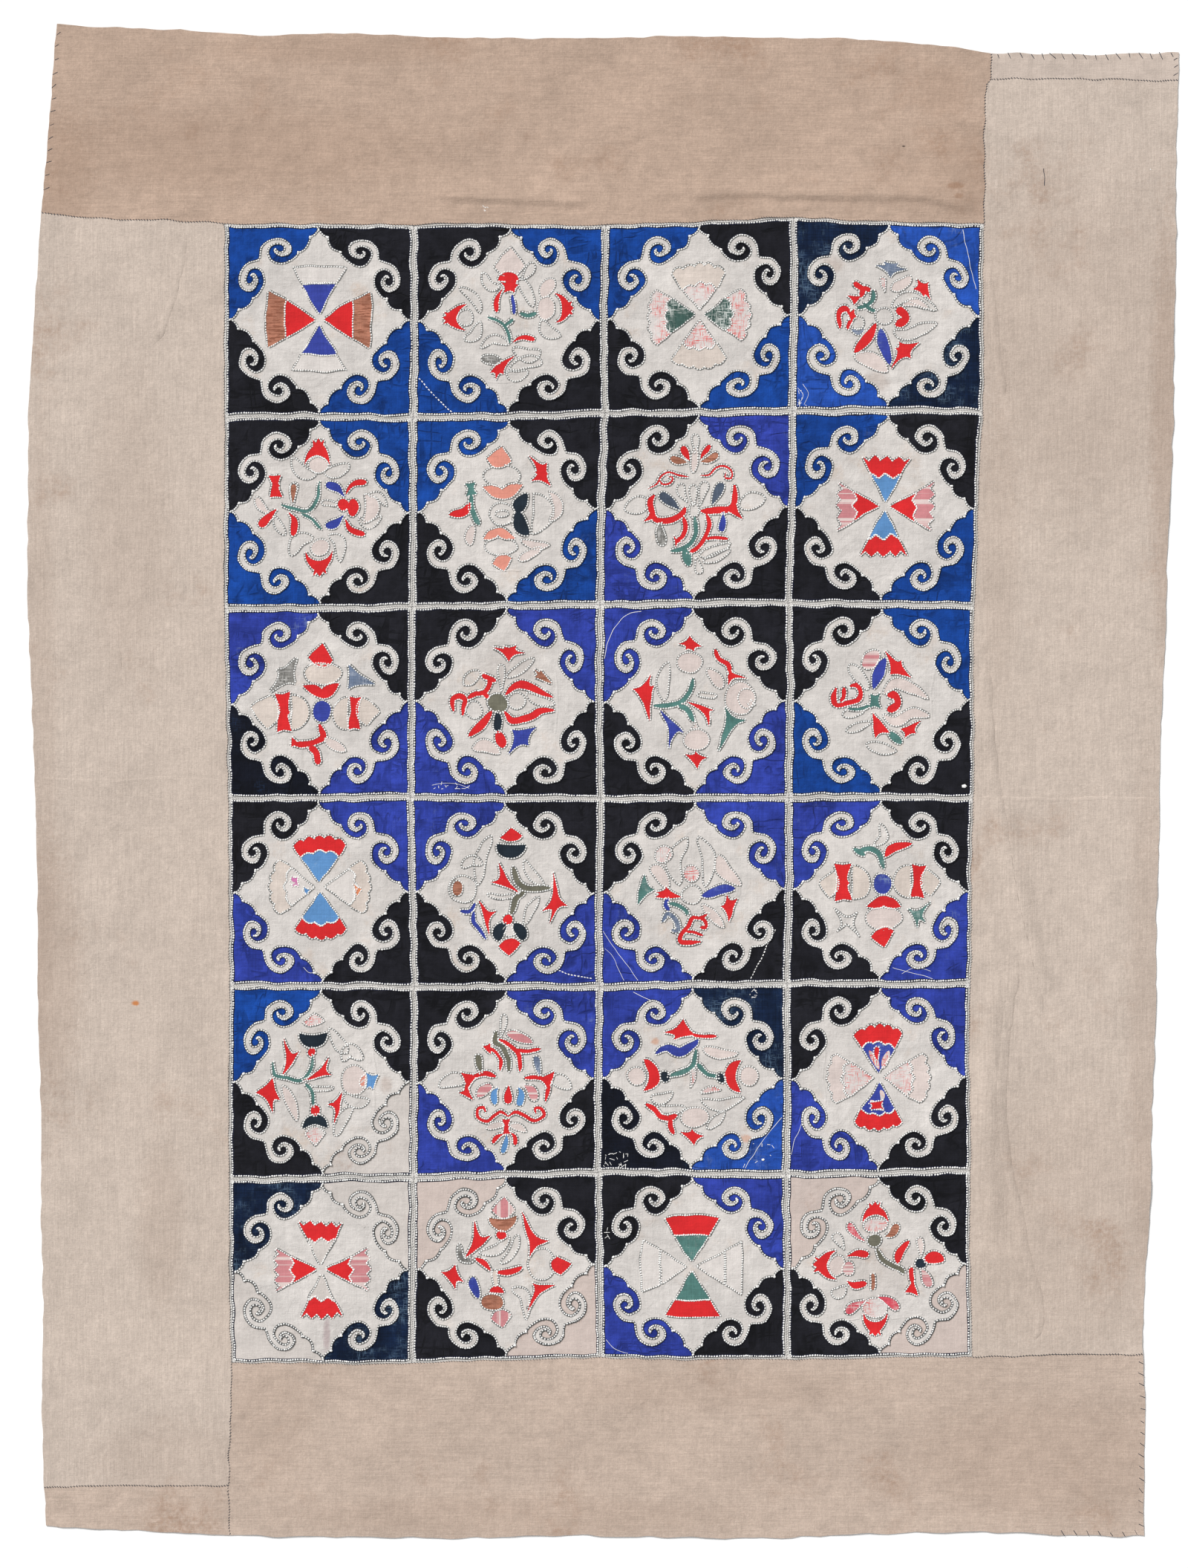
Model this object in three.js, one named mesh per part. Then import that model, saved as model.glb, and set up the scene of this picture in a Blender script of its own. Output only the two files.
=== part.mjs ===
// An appliqué quilt cover lying flat: a grid of patchwork blocks inside a border of cotton panels.
// Millimetres, +Z up. X runs across the cover, Y up its length, and its underside lies on z = 0.

import * as THREE from 'three';

// Driving dimensions

const BORDER_THICK = 1.2;
const GROUND_THICK = 1.2;
const FIELD_THICK = 1.0;
const LAYER_GAP = 0.3;
const HALF_GAP = 0.25;

// Blocks across and down
const COLUMNS = 4;
const ROWS = 6;

// How many straight runs a block's edge has
const GROUND_STEPS = 2;

// The seams' crossings: one row for each seam across the grid, top to bottom, with x and y at each column
const CROSSINGS = [
  { x: [-480, -239, 2, 242, 481], y: [706, 704, 704, 712, 705] },
  { x: [-479, -240, 0, 241, 480], y: [461, 460, 464, 469, 467] },
  { x: [-480, -241, -5, 235, 470], y: [218, 220, 224, 225, 223] },
  { x: [-475, -244, -3, 235, 468], y: [-22, -20, -23, -20, -22] },
  { x: [-473, -240, -5, 233, 464], y: [-259, -260, -260, -256, -256] },
  { x: [-473, -241, -7, 232, 464], y: [-503, -502, -494, -498, -493] },
  { x: [-470, -242, -3, 232, 465], y: [-737, -736, -730, -732, -728] },
];

const crossing = (seam, column) => [CROSSINGS[seam].x[column], CROSSINGS[seam].y[column]];
const GRID_TOP = CROSSINGS[0].x.map((_, column) => crossing(0, column));
const GRID_BOTTOM = CROSSINGS[0].x.map((_, column) => crossing(ROWS, column));
const GRID_LEFT_UP = CROSSINGS.map((_, seam) => crossing(seam, 0)).reverse();
const GRID_RIGHT_UP = CROSSINGS.map((_, seam) => crossing(seam, COLUMNS)).reverse();

const midway = (a, b) => [(a[0] + b[0]) / 2, (a[1] + b[1]) / 2];

// Seams of the border, which turns like a pinwheel round the grid
const LEFT_TOP_SEAM = [[-711, 719], [-633, 710.6], [-555, 708.3], GRID_TOP[0]];
const TOP_RIGHT_SEAM = [GRID_TOP[COLUMNS], [480.5, 823], [485.5, 881.3], [491, 887.8], [491, 921]];
const RIGHT_STRIP_SEAM = [[491, 887.8], [610, 888], [728.5, 887.5]];
const RIGHT_BOTTOM_SEAM = [GRID_BOTTOM[COLUMNS], [573, -726], [682, -725]];
const LEFT_STRIP_SEAM = [[-710, -892], [-592, -891], [-473, -892]];
const STRIP_FOOT = [-473, -955];

// Each border piece: its edges left to right and bottom to top, opposite edges with as many points,
// and how many runs each stretch across and up is cut into
const BORDER = {
  panel_top: {
    bottom: [
      LEFT_TOP_SEAM[0], LEFT_TOP_SEAM[1], LEFT_TOP_SEAM[2], GRID_TOP[0],
      midway(GRID_TOP[0], GRID_TOP[1]), GRID_TOP[1], midway(GRID_TOP[1], GRID_TOP[2]), GRID_TOP[2],
      midway(GRID_TOP[2], GRID_TOP[3]), GRID_TOP[3], midway(GRID_TOP[3], GRID_TOP[4]), GRID_TOP[4],
    ],
    top: [
      [-693, 958], [-620, 954.5], [-547, 951], [-435, 943],
      [-322, 945], [-209, 942], [-90, 940], [20, 940],
      [129, 942], [298, 940], [411, 933], [491, 921],
    ],
    left: [[-711, 719], [-709, 741], [-705, 791], [-701, 850], [-697, 905], [-693, 958]],
    right: [
      GRID_TOP[COLUMNS], [480.8, 748], TOP_RIGHT_SEAM[1], TOP_RIGHT_SEAM[2], TOP_RIGHT_SEAM[3], TOP_RIGHT_SEAM[4],
    ],
    across: [1, 1, 1, 1, 2, 2, 2, 2, 2, 2, 3],
    up: [7, 3, 2, 1, 1],
  },
  panel_right: {
    bottom: RIGHT_BOTTOM_SEAM,
    top: RIGHT_STRIP_SEAM,
    left: [...GRID_RIGHT_UP, TOP_RIGHT_SEAM[1], TOP_RIGHT_SEAM[2], TOP_RIGHT_SEAM[3]],
    right: [
      [682, -725], [694, -500], [699, -256], [703, -22], [712, 223],
      [721, 467], [725, 705], [727, 823], [728.2, 878], [728.5, 887.5],
    ],
    across: [9, 3],
    up: [5, 7, 7, 2, 1, 1, 3, 1, 1],
  },
  panel_bottom: {
    bottom: [STRIP_FOOT, [-265, -957], [-40, -955], [129, -958], [468, -950], [684, -955]],
    top: [...GRID_BOTTOM, RIGHT_BOTTOM_SEAM[2]],
    left: [STRIP_FOOT, LEFT_STRIP_SEAM[2], GRID_BOTTOM[0]],
    right: [[684, -955], [685, -788], [682, -725]],
    across: [2, 2, 2, 2, 2],
    up: [1, 2],
  },
  panel_left: {
    bottom: LEFT_STRIP_SEAM,
    top: [LEFT_TOP_SEAM[0], LEFT_TOP_SEAM[1], LEFT_TOP_SEAM[3]],
    left: [
      [-710, -892], [-710.5, -735], [-711, -500], [-715, -259],
      [-718, -22], [-729, 218], [-728, 461], [-711, 719],
    ],
    right: [LEFT_STRIP_SEAM[2], ...GRID_LEFT_UP],
    across: [2, 2],
    up: [1, 1, 1, 1, 1, 1, 1],
  },
  strip_right_top: {
    bottom: RIGHT_STRIP_SEAM,
    top: [[491, 921], [610, 919.5], [729, 921]],
    left: [[491, 887.8], [491, 921]],
    right: [[728.5, 887.5], [729, 921]],
    across: [1, 1],
    up: [1],
  },
  strip_left_bottom: {
    bottom: [[-707, -943], [-560, -949], STRIP_FOOT],
    top: LEFT_STRIP_SEAM,
    left: [[-707, -943], [-710, -892]],
    right: [STRIP_FOOT, LEFT_STRIP_SEAM[2]],
    across: [1, 1],
    up: [1],
  },
};

// Folds where the cloth lifts: a crest line, its height, and how far it falls away on either side of it.
// "below" is the side on the right hand as the crest runs
const FOLDS = [
  { height: 5, above: 34, below: 7, crest: [[-228, 740], [-141, 736], [-69, 734], [-1, 727]] },
  { height: 6, above: 34, below: 7, crest: [[93, 737], [199, 742], [347, 739], [395, 738], [455, 726], [479, 719]] },
  { height: 4, above: 9, below: 24, crest: [[559, -278], [545, -231], [530, -170], [518, -104], [497, 2]] },
  { height: 4, above: 24, below: 22, crest: [[498, -586], [489, -480], [487, -393], [497, -239]] },
  { height: 2.5, above: 16, below: 14, crest: [[400, 850], [458, 833], [491, 825], [551, 796]] },
];
const FOLD_END = 45;

// One white field in a block whose half width is 1: its left upper side, from the tip to the corner notch
const FIELD_TIP = [-0.96, 0];
const FIELD_SCALLOPS = [[-0.862, 0.109], [-0.758, 0.141], [-0.71, 0.234]];
const FIELD_NOTCH = [-0.627, 0.627];
const HORN_CENTRE = [-0.732, 0.42];

// The horn's edge about its centre, in turn: up its inner side and back along its outer side
const HORN = [
  { angle: 295, radius: 0.176 },
  { angle: 335, radius: 0.16 },
  { angle: 385, radius: 0.147 },
  { angle: 440, radius: 0.1 },
  { angle: 478, radius: 0.055 },
  { angle: 420, radius: 0.06 },
  { angle: 370, radius: 0.09 },
  { angle: 310, radius: 0.115 },
  { angle: 250, radius: 0.127 },
  { angle: 190, radius: 0.13 },
  { angle: 135, radius: 0.15 },
  { angle: 100, radius: 0.182 },
];

// Colours of the cloth, as seen
const COLOURS = {
  panel_top: 0xc1aa99,
  panel_right: 0xccbcaf,
  panel_bottom: 0xc6b2a4,
  panel_left: 0xccbcaf,
  strip_right_top: 0xc6b3a4,
  strip_left_bottom: 0xc8b5a6,
  blue: 0x164196,
  violet: 0x3237a5,
  black: 0x26262c,
  navy: 0x142846,
  field: 0xded6ce,
};

// The ground cloth that shows most in each block, row by row
const GROUND_COLOURS = [
  ['blue', 'black', 'blue', 'navy'],
  ['black', 'blue', 'black', 'blue'],
  ['violet', 'black', 'violet', 'black'],
  ['black', 'violet', 'black', 'violet'],
  ['black', 'black', 'violet', 'black'],
  ['navy', 'black', 'black', 'black'],
];

const cloth = (colour) => new THREE.MeshStandardMaterial({ color: colour, roughness: 0.95, metalness: 0 });

const smooth = (t) => {
  const held = Math.min(1, Math.max(0, t));
  return held * held * (3 - 2 * held);
};

// How far a point lies from a crest line, on which side, and how near an end of the line
function nearCrest(crest, x, y) {
  let best = { distance: Infinity };
  let run = 0;
  const lengths = crest.slice(1).map((p, i) => Math.hypot(p[0] - crest[i][0], p[1] - crest[i][1]));
  const whole = lengths.reduce((sum, length) => sum + length, 0);
  lengths.forEach((length, i) => {
    const [x0, y0] = crest[i];
    const along = [(crest[i + 1][0] - x0) / length, (crest[i + 1][1] - y0) / length];
    const t = Math.min(length, Math.max(0, (x - x0) * along[0] + (y - y0) * along[1]));
    const off = [x - x0 - along[0] * t, y - y0 - along[1] * t];
    const distance = Math.hypot(off[0], off[1]);
    if (distance < best.distance) {
      const side = along[0] * off[1] - along[1] * off[0];
      best = { distance, isAbove: side >= 0, toEnd: Math.min(run + t, whole - run - t) };
    }
    run += length;
  });
  return best;
}

// How high the folds lift the border at a point
function lift(x, y) {
  return FOLDS.reduce((sum, fold) => {
    const near = nearCrest(fold.crest, x, y);
    const reach = near.isAbove ? fold.above : fold.below;
    const across = 1 - smooth(near.distance / reach);
    return sum + fold.height * across * smooth(near.toEnd / FOLD_END);
  }, 0);
}

// A point on a line of points, t running from 0 at the first to 1 at the last
function pointOn(line, t) {
  const place = t * (line.length - 1);
  const i = Math.min(line.length - 2, Math.floor(place));
  const share = place - i;
  return [0, 1].map((k) => line[i][k] * (1 - share) + line[i + 1][k] * share);
}

// Places from 0 to 1 that cut each of several equal stretches into its own number of runs
function cuts(runs) {
  const places = [0];
  runs.forEach((count, i) => {
    for (let k = 1; k <= count; k += 1) places.push((i + k / count) / runs.length);
  });
  return places;
}

// A sheet between four edges, with an even thickness, drawn in by half a gap all round
function sheet(edges, across, up, thick, liftAt) {
  const { bottom, top, left, right } = edges;
  const us = cuts(across);
  const vs = cuts(up);
  const positions = [];
  const surface = (u, v, k) => {
    const lengthways = (1 - v) * pointOn(bottom, u)[k] + v * pointOn(top, u)[k];
    const sideways = (1 - u) * pointOn(left, v)[k] + u * pointOn(right, v)[k];
    const low = (1 - u) * bottom[0][k] + u * bottom[bottom.length - 1][k];
    const high = (1 - u) * top[0][k] + u * top[top.length - 1][k];
    return lengthways + sideways - (1 - v) * low - v * high;
  };
  for (const layer of [0, thick]) {
    for (const v of vs) {
      for (const u of us) {
        const x = surface(u, v, 0) + HALF_GAP * (1 - 2 * u);
        const y = surface(u, v, 1) + HALF_GAP * (1 - 2 * v);
        positions.push(x, y, layer + liftAt(x, y));
      }
    }
  }
  const wide = us.length;
  const layerSize = wide * vs.length;
  const index = [];
  const quad = (a, b, c, d) => index.push(a, b, c, a, c, d);
  for (let j = 0; j < vs.length - 1; j += 1) {
    for (let i = 0; i < wide - 1; i += 1) {
      const a = j * wide + i;
      quad(a, a + wide, a + wide + 1, a + 1);
      quad(layerSize + a, layerSize + a + 1, layerSize + a + wide + 1, layerSize + a + wide);
    }
  }
  const lastRow = layerSize - wide;
  for (let i = 0; i < wide - 1; i += 1) {
    quad(i, i + 1, layerSize + i + 1, layerSize + i);
    quad(lastRow + i + 1, lastRow + i, layerSize + lastRow + i, layerSize + lastRow + i + 1);
  }
  for (let j = 0; j < vs.length - 1; j += 1) {
    const a = j * wide;
    const b = a + wide - 1;
    quad(a + wide, a, layerSize + a, layerSize + a + wide);
    quad(b, b + wide, layerSize + b + wide, layerSize + b);
  }
  const geometry = new THREE.BufferGeometry();
  geometry.setAttribute('position', new THREE.Float32BufferAttribute(positions, 3));
  geometry.setIndex(index);
  geometry.computeVertexNormals();
  return geometry;
}

// A block's four corners, counted from the top left one
function blockCorners(row, column) {
  return {
    topLeft: crossing(row, column),
    topRight: crossing(row, column + 1),
    bottomLeft: crossing(row + 1, column),
    bottomRight: crossing(row + 1, column + 1),
  };
}

function groundGeometry(row, column) {
  const { topLeft, topRight, bottomLeft, bottomRight } = blockCorners(row, column);
  const edges = {
    bottom: [bottomLeft, bottomRight],
    top: [topLeft, topRight],
    left: [bottomLeft, topLeft],
    right: [bottomRight, topRight],
  };
  return sheet(edges, [GROUND_STEPS], [GROUND_STEPS], GROUND_THICK, () => 0);
}

// The whole field's outline: one side up to the notch, mirrored about the diagonal, then round the block
function fieldOutline() {
  const horn = HORN.map(({ angle, radius }) => {
    const turn = THREE.MathUtils.degToRad(angle);
    return [HORN_CENTRE[0] + radius * Math.cos(turn), HORN_CENTRE[1] + radius * Math.sin(turn)];
  });
  const half = [FIELD_TIP, ...FIELD_SCALLOPS, ...horn];
  const otherHalf = half.map(([u, v]) => [-v, -u]).reverse();
  const quarter = [...half, FIELD_NOTCH, ...otherHalf.slice(0, -1)];
  const outline = [];
  for (let turn = 0; turn < 4; turn += 1) {
    const [cos, sin] = [[1, 0], [0, -1], [-1, 0], [0, 1]][turn];
    quarter.forEach(([u, v]) => outline.push([u * cos - v * sin, u * sin + v * cos]));
  }
  return outline;
}

const FIELD_OUTLINE = fieldOutline();

function fieldGeometry(row, column) {
  const { topLeft, topRight, bottomLeft, bottomRight } = blockCorners(row, column);
  const place = (u, v) => {
    const s = (1 + u) / 2;
    const t = (1 + v) / 2;
    return [0, 1].map((k) => {
      const low = (1 - s) * bottomLeft[k] + s * bottomRight[k];
      const high = (1 - s) * topLeft[k] + s * topRight[k];
      return (1 - t) * low + t * high;
    });
  };
  const shape = new THREE.Shape(FIELD_OUTLINE.map(([u, v]) => new THREE.Vector2(...place(u, v))));
  const geometry = new THREE.ExtrudeGeometry(shape, { depth: FIELD_THICK, bevelEnabled: false });
  geometry.translate(0, 0, GROUND_THICK + LAYER_GAP);
  return geometry;
}

function piece(name, geometry, colour) {
  const mesh = new THREE.Mesh(geometry, cloth(colour));
  mesh.name = name;
  return mesh;
}

const quiltCover = new THREE.Group();
for (const [name, panel] of Object.entries(BORDER)) {
  quiltCover.add(piece(name, sheet(panel, panel.across, panel.up, BORDER_THICK, lift), COLOURS[name]));
}
for (let row = 0; row < ROWS; row += 1) {
  for (let column = 0; column < COLUMNS; column += 1) {
    const place = `r${row + 1}c${column + 1}`;
    const ground = COLOURS[GROUND_COLOURS[row][column]];
    quiltCover.add(piece(`block_${place}`, groundGeometry(row, column), ground));
    quiltCover.add(piece(`field_${place}`, fieldGeometry(row, column), COLOURS.field));
  }
}

export default quiltCover;
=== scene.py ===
import math
import random

import bpy
import numpy as np
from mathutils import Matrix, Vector
from mathutils.geometry import delaunay_2d_cdt


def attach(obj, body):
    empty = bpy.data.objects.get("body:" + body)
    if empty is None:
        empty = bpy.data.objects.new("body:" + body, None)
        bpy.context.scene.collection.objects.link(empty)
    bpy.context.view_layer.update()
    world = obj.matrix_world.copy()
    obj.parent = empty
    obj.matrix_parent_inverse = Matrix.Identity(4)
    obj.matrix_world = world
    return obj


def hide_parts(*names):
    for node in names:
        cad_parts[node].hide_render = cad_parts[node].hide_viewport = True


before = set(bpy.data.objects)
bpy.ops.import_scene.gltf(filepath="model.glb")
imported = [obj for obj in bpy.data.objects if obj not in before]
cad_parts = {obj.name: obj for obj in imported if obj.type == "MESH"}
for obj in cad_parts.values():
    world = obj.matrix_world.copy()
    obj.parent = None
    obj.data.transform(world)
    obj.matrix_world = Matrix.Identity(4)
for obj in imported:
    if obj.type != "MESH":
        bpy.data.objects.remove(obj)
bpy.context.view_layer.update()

# Lengths below are millimetres, as in the solids; meshes are written in metres.
MM = 0.001
ROWS, COLUMNS = 6, 4
BORDER_THICK = 1.2
GROUND_THICK = 1.2
FIELD_RISE = 1.1
# Each cloth stays this far inside its seam line
HALF_GAP = 0.2

# The seams' crossings: x and y at each column, one row for each seam across, top to bottom
CROSS_X = [
    [-480, -239, 2, 242, 481],
    [-479, -240, 0, 241, 480],
    [-480, -241, -5, 235, 470],
    [-475, -244, -3, 235, 468],
    [-473, -240, -5, 233, 464],
    [-473, -241, -7, 232, 464],
    [-470, -242, -3, 232, 465],
]
CROSS_Y = [
    [706, 704, 704, 712, 705],
    [461, 460, 464, 469, 467],
    [218, 220, 224, 225, 223],
    [-22, -20, -23, -20, -22],
    [-259, -260, -260, -256, -256],
    [-503, -502, -494, -498, -493],
    [-737, -736, -730, -732, -728],
]
CROSS = np.stack([np.array(CROSS_X, float), np.array(CROSS_Y, float)], axis=2)


def mid(a, b):
    return [(a[0] + b[0]) / 2, (a[1] + b[1]) / 2]


TOP = [list(p) for p in CROSS[0]]
FOOT = [list(p) for p in CROSS[ROWS]]
LEFT_UP = [list(CROSS[k][0]) for k in range(ROWS, -1, -1)]
RIGHT_UP = [list(CROSS[k][COLUMNS]) for k in range(ROWS, -1, -1)]

# Border pieces: edges as in the solids, and the runs that each stretch across and up is cut into
BORDER = {
    "panel_top": {
        "bottom": [
            [-711, 719], [-633, 710.6], [-555, 708.3], TOP[0], mid(TOP[0], TOP[1]), TOP[1],
            mid(TOP[1], TOP[2]), TOP[2], mid(TOP[2], TOP[3]), TOP[3], mid(TOP[3], TOP[4]), TOP[4],
        ],
        "top": [
            [-693, 958], [-620, 954.5], [-547, 951], [-435, 943], [-322, 945], [-209, 942],
            [-90, 940], [20, 940], [129, 942], [298, 940], [411, 933], [491, 921],
        ],
        "left": [[-711, 719], [-709, 741], [-705, 791], [-701, 850], [-697, 905], [-693, 958]],
        "right": [TOP[4], [480.8, 748], [480.5, 823], [485.5, 881.3], [491, 887.8], [491, 921]],
        "across": [9, 9, 9, 14, 14, 14, 14, 14, 14, 14, 14],
        "up": [10, 16, 8, 6, 6],
    },
    "panel_right": {
        "bottom": [FOOT[4], [573, -726], [682, -725]],
        "top": [[491, 887.8], [610, 888], [728.5, 887.5]],
        "left": RIGHT_UP + [[480.5, 823], [485.5, 881.3], [491, 887.8]],
        "right": [
            [682, -725], [694, -500], [699, -256], [703, -22], [712, 223],
            [721, 467], [725, 705], [727, 823], [728.2, 878], [728.5, 887.5],
        ],
        "across": [27, 14],
        "up": [23, 23, 23, 23, 23, 23, 12, 8, 1],
    },
    "panel_bottom": {
        "bottom": [[-473, -955], [-265, -957], [-40, -955], [129, -958], [468, -950], [684, -955]],
        "top": FOOT + [[682, -725]],
        "left": [[-473, -955], [-473, -892], FOOT[0]],
        "right": [[684, -955], [685, -788], [682, -725]],
        "across": [28, 28, 28, 28, 28],
        "up": [11, 16],
    },
    "panel_left": {
        "bottom": [[-710, -892], [-592, -891], [-473, -892]],
        "top": [[-711, 719], [-633, 710.6], TOP[0]],
        "left": [
            [-710, -892], [-710.5, -735], [-711, -500], [-715, -259],
            [-718, -22], [-729, 218], [-728, 461], [-711, 719],
        ],
        "right": [[-473, -892]] + LEFT_UP,
        "across": [14, 14],
        "up": [15, 22, 22, 22, 22, 22, 22],
    },
    "strip_right_top": {
        "bottom": [[491, 887.8], [610, 888], [728.5, 887.5]],
        "top": [[491, 921], [610, 919.5], [729, 921]],
        "left": [[491, 887.8], [491, 921]],
        "right": [[728.5, 887.5], [729, 921]],
        "across": [15, 15],
        "up": [5],
    },
    "strip_left_bottom": {
        "bottom": [[-707, -943], [-560, -949], [-473, -955]],
        "top": [[-710, -892], [-592, -891], [-473, -892]],
        "left": [[-707, -943], [-710, -892]],
        "right": [[-473, -955], [-473, -892]],
        "across": [15, 15],
        "up": [7],
    },
}

# Folds: height, reach above and below the crest, and the crest line
FOLDS = [
    (3.2, 34, 4.5, [[-228, 740], [-141, 736], [-69, 734], [-1, 727]]),
    (3.8, 34, 4.5, [[93, 737], [199, 742], [347, 739], [395, 738], [455, 726], [479, 719]]),
    (4, 9, 24, [[559, -278], [545, -231], [530, -170], [518, -104], [497, 2]]),
    (4, 24, 22, [[498, -586], [489, -480], [487, -393], [497, -239]]),
    (2.5, 16, 14, [[400, 850], [458, 833], [491, 825], [551, 796]]),
]
FOLD_END = 45


def waves(seed, count, shortest, longest, height):
    """Rows of (wave numbers in x and y, phase, height) for waves of random way and length in mm."""
    rng = random.Random(seed)
    rows = []
    for _ in range(count):
        length = shortest * (longest / shortest) ** rng.random()
        turn = rng.uniform(0, math.tau)
        k = math.tau / length
        rows.append((k * math.cos(turn), k * math.sin(turn), rng.uniform(0, math.tau), height))
    return rows


def sway(rows, x, y):
    return sum(h * np.sin(a * x + b * y + p) for a, b, p, h in rows)


# Unevenness of the weave in x and y, pucker of the grounds, swell of the border and small rucks
WARP_X = waves(11, 4, 60, 170, 0.5) + waves(12, 4, 13, 28, 0.16) + waves(17, 4, 34, 60, 0.3)
WARP_Y = waves(13, 4, 60, 170, 0.5) + waves(14, 4, 13, 28, 0.16) + waves(18, 4, 34, 60, 0.3)
PUCKER = waves(15, 7, 22, 70, 0.11)
SWELL = waves(16, 6, 70, 220, 0.3)
RUCK = waves(17, 8, 14, 34, 0.07)


def warp(x, y):
    return x + sway(WARP_X, x, y), y + sway(WARP_Y, x, y)


def ease(t):
    t = np.clip(t, 0, 1)
    return t * t * (3 - 2 * t)


def lift(x, y):
    """How far the folds raise the border."""
    total = np.zeros_like(x)
    for height, above, below, crest in FOLDS:
        near = np.full_like(x, 1e9)
        upper = np.zeros_like(x, bool)
        end = np.zeros_like(x)
        lengths = [math.dist(a, b) for a, b in zip(crest, crest[1:])]
        run = 0
        for (x0, y0), (x1, y1), length in zip(crest, crest[1:], lengths):
            ax, ay = (x1 - x0) / length, (y1 - y0) / length
            t = np.clip((x - x0) * ax + (y - y0) * ay, 0, length)
            ox, oy = x - x0 - ax * t, y - y0 - ay * t
            d = np.hypot(ox, oy)
            closer = d < near
            near = np.where(closer, d, near)
            upper = np.where(closer, ax * oy - ay * ox >= 0, upper)
            end = np.where(closer, np.minimum(run + t, sum(lengths) - run - t), end)
            run += length
        reach = np.where(upper, above, below)
        total += height * (1 - ease(near / reach)) * ease(end / FOLD_END)
    return total


# How much brighter the studio light shows a colour than it is
LIGHT_LEVEL = 1.1


def linear(seen):
    """A colour as seen, from 0 to 255, as the shader's own linear one."""
    out = []
    for c in seen:
        c = c / 255
        out.append((c / 12.92 if c <= 0.04045 else ((c + 0.055) / 1.055) ** 2.4) / LIGHT_LEVEL)
    return (*out, 1)


class Graph:
    """A material's nodes, with short ways to add and join them."""

    def __init__(self, name):
        self.material = bpy.data.materials.new(name)
        self.material.use_nodes = True
        self.tree = self.material.node_tree
        self.shader = self.tree.nodes["Principled BSDF"]
        self.point = self.add("ShaderNodeTexCoord").outputs["Object"]

    def add(self, kind, inputs=None, **settings):
        node = self.tree.nodes.new(kind)
        for key, value in settings.items():
            setattr(node, key, value)
        for key, value in (inputs or {}).items():
            self.feed(node.inputs[key], value)
        return node

    def feed(self, socket, value):
        if isinstance(value, bpy.types.NodeSocket):
            self.tree.links.new(value, socket)
        else:
            socket.default_value = value

    def noise(self, scale, detail=4, rough=0.55, stretch=None, turn=0, distort=0):
        point = self.point
        if stretch:
            point = self.add(
                "ShaderNodeMapping",
                {"Vector": point, "Rotation": (0, 0, turn), "Scale": (*stretch, 1)},
            ).outputs[0]
        return self.add(
            "ShaderNodeTexNoise",
            {"Vector": point, "Scale": scale, "Detail": detail, "Roughness": rough, "Distortion": distort},
        ).outputs["Fac"]

    def ramp(self, value, low, high, to_low=0.0, to_high=1.0):
        return self.add(
            "ShaderNodeMapRange",
            {"Value": value, "From Min": low, "From Max": high, "To Min": to_low, "To Max": to_high},
            interpolation_type="SMOOTHSTEP",
        ).outputs[0]

    def around(self, value, by):
        """A noise as a factor round 1, from 1 - by to 1 + by."""
        return self.ramp(value, 0.3, 0.7, 1 - by, 1 + by)

    def maths(self, operation, a, b=0.0):
        return self.add("ShaderNodeMath", {0: a, 1: b}, operation=operation).outputs[0]

    def mix(self, share, a, b):
        node = self.add("ShaderNodeMix", data_type="RGBA")
        self.feed(node.inputs[0], share)
        self.feed(node.inputs[6], a)
        self.feed(node.inputs[7], b)
        return node.outputs[2]

    def tint(self, colour, factor):
        """The colour made lighter or darker by a factor round 1."""
        node = self.add("ShaderNodeVectorMath", operation="SCALE")
        self.feed(node.inputs[0], colour[:3] if isinstance(colour, tuple) else colour)
        self.feed(node.inputs["Scale"], factor)
        return node.outputs[0]

    def weave(self):
        """Height of hand-spun threads that cross, from 0 to 1."""
        across = self.noise(1, 2, 0.5, stretch=(160, 1300))
        along = self.noise(1, 2, 0.5, stretch=(1300, 160))
        return self.ramp(self.maths("MAXIMUM", across, along), 0.35, 0.75)

    def creases(self, stretch, turn, width=0.06):
        """Soft broken lines that run mostly one way, 1 at their middle."""
        field = self.noise(1, 2.5, 0.55, stretch=stretch, turn=turn, distort=0.9)
        away = self.maths("ABSOLUTE", self.maths("SUBTRACT", field, 0.5))
        line = self.ramp(away, 0.0, width, 1.0, 0.0)
        return self.maths("MULTIPLY", line, self.ramp(self.noise(24, 2, 0.5), 0.4, 0.58))

    def spots(self, shade, places):
        """Ragged spots at places of (x, y, reach across, reach up in mm, tone, share)."""
        ragged = self.noise(190, 4, 0.7)
        for x, y, across, up, tone, share in places:
            node = self.add(
                "ShaderNodeMapping",
                {
                    "Vector": self.point,
                    "Location": (-x / across, -y / up, 0),
                    "Scale": (1 / (across * MM), 1 / (up * MM), 0),
                },
            )
            away = self.add("ShaderNodeVectorMath", {0: node.outputs[0]}, operation="LENGTH").outputs["Value"]
            edge = self.maths("ADD", away, self.maths("MULTIPLY", ragged, 1.1))
            shade = self.mix(self.ramp(edge, 1.0, 1.75, share, 0.0), shade, linear(tone))
        return shade

    def bump(self, height, distance, strength=1.0, normal=None):
        node = self.add(
            "ShaderNodeBump", {"Height": height, "Distance": distance * MM, "Strength": strength}
        )
        if normal:
            self.feed(node.inputs["Normal"], normal)
        return node.outputs["Normal"]


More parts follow.
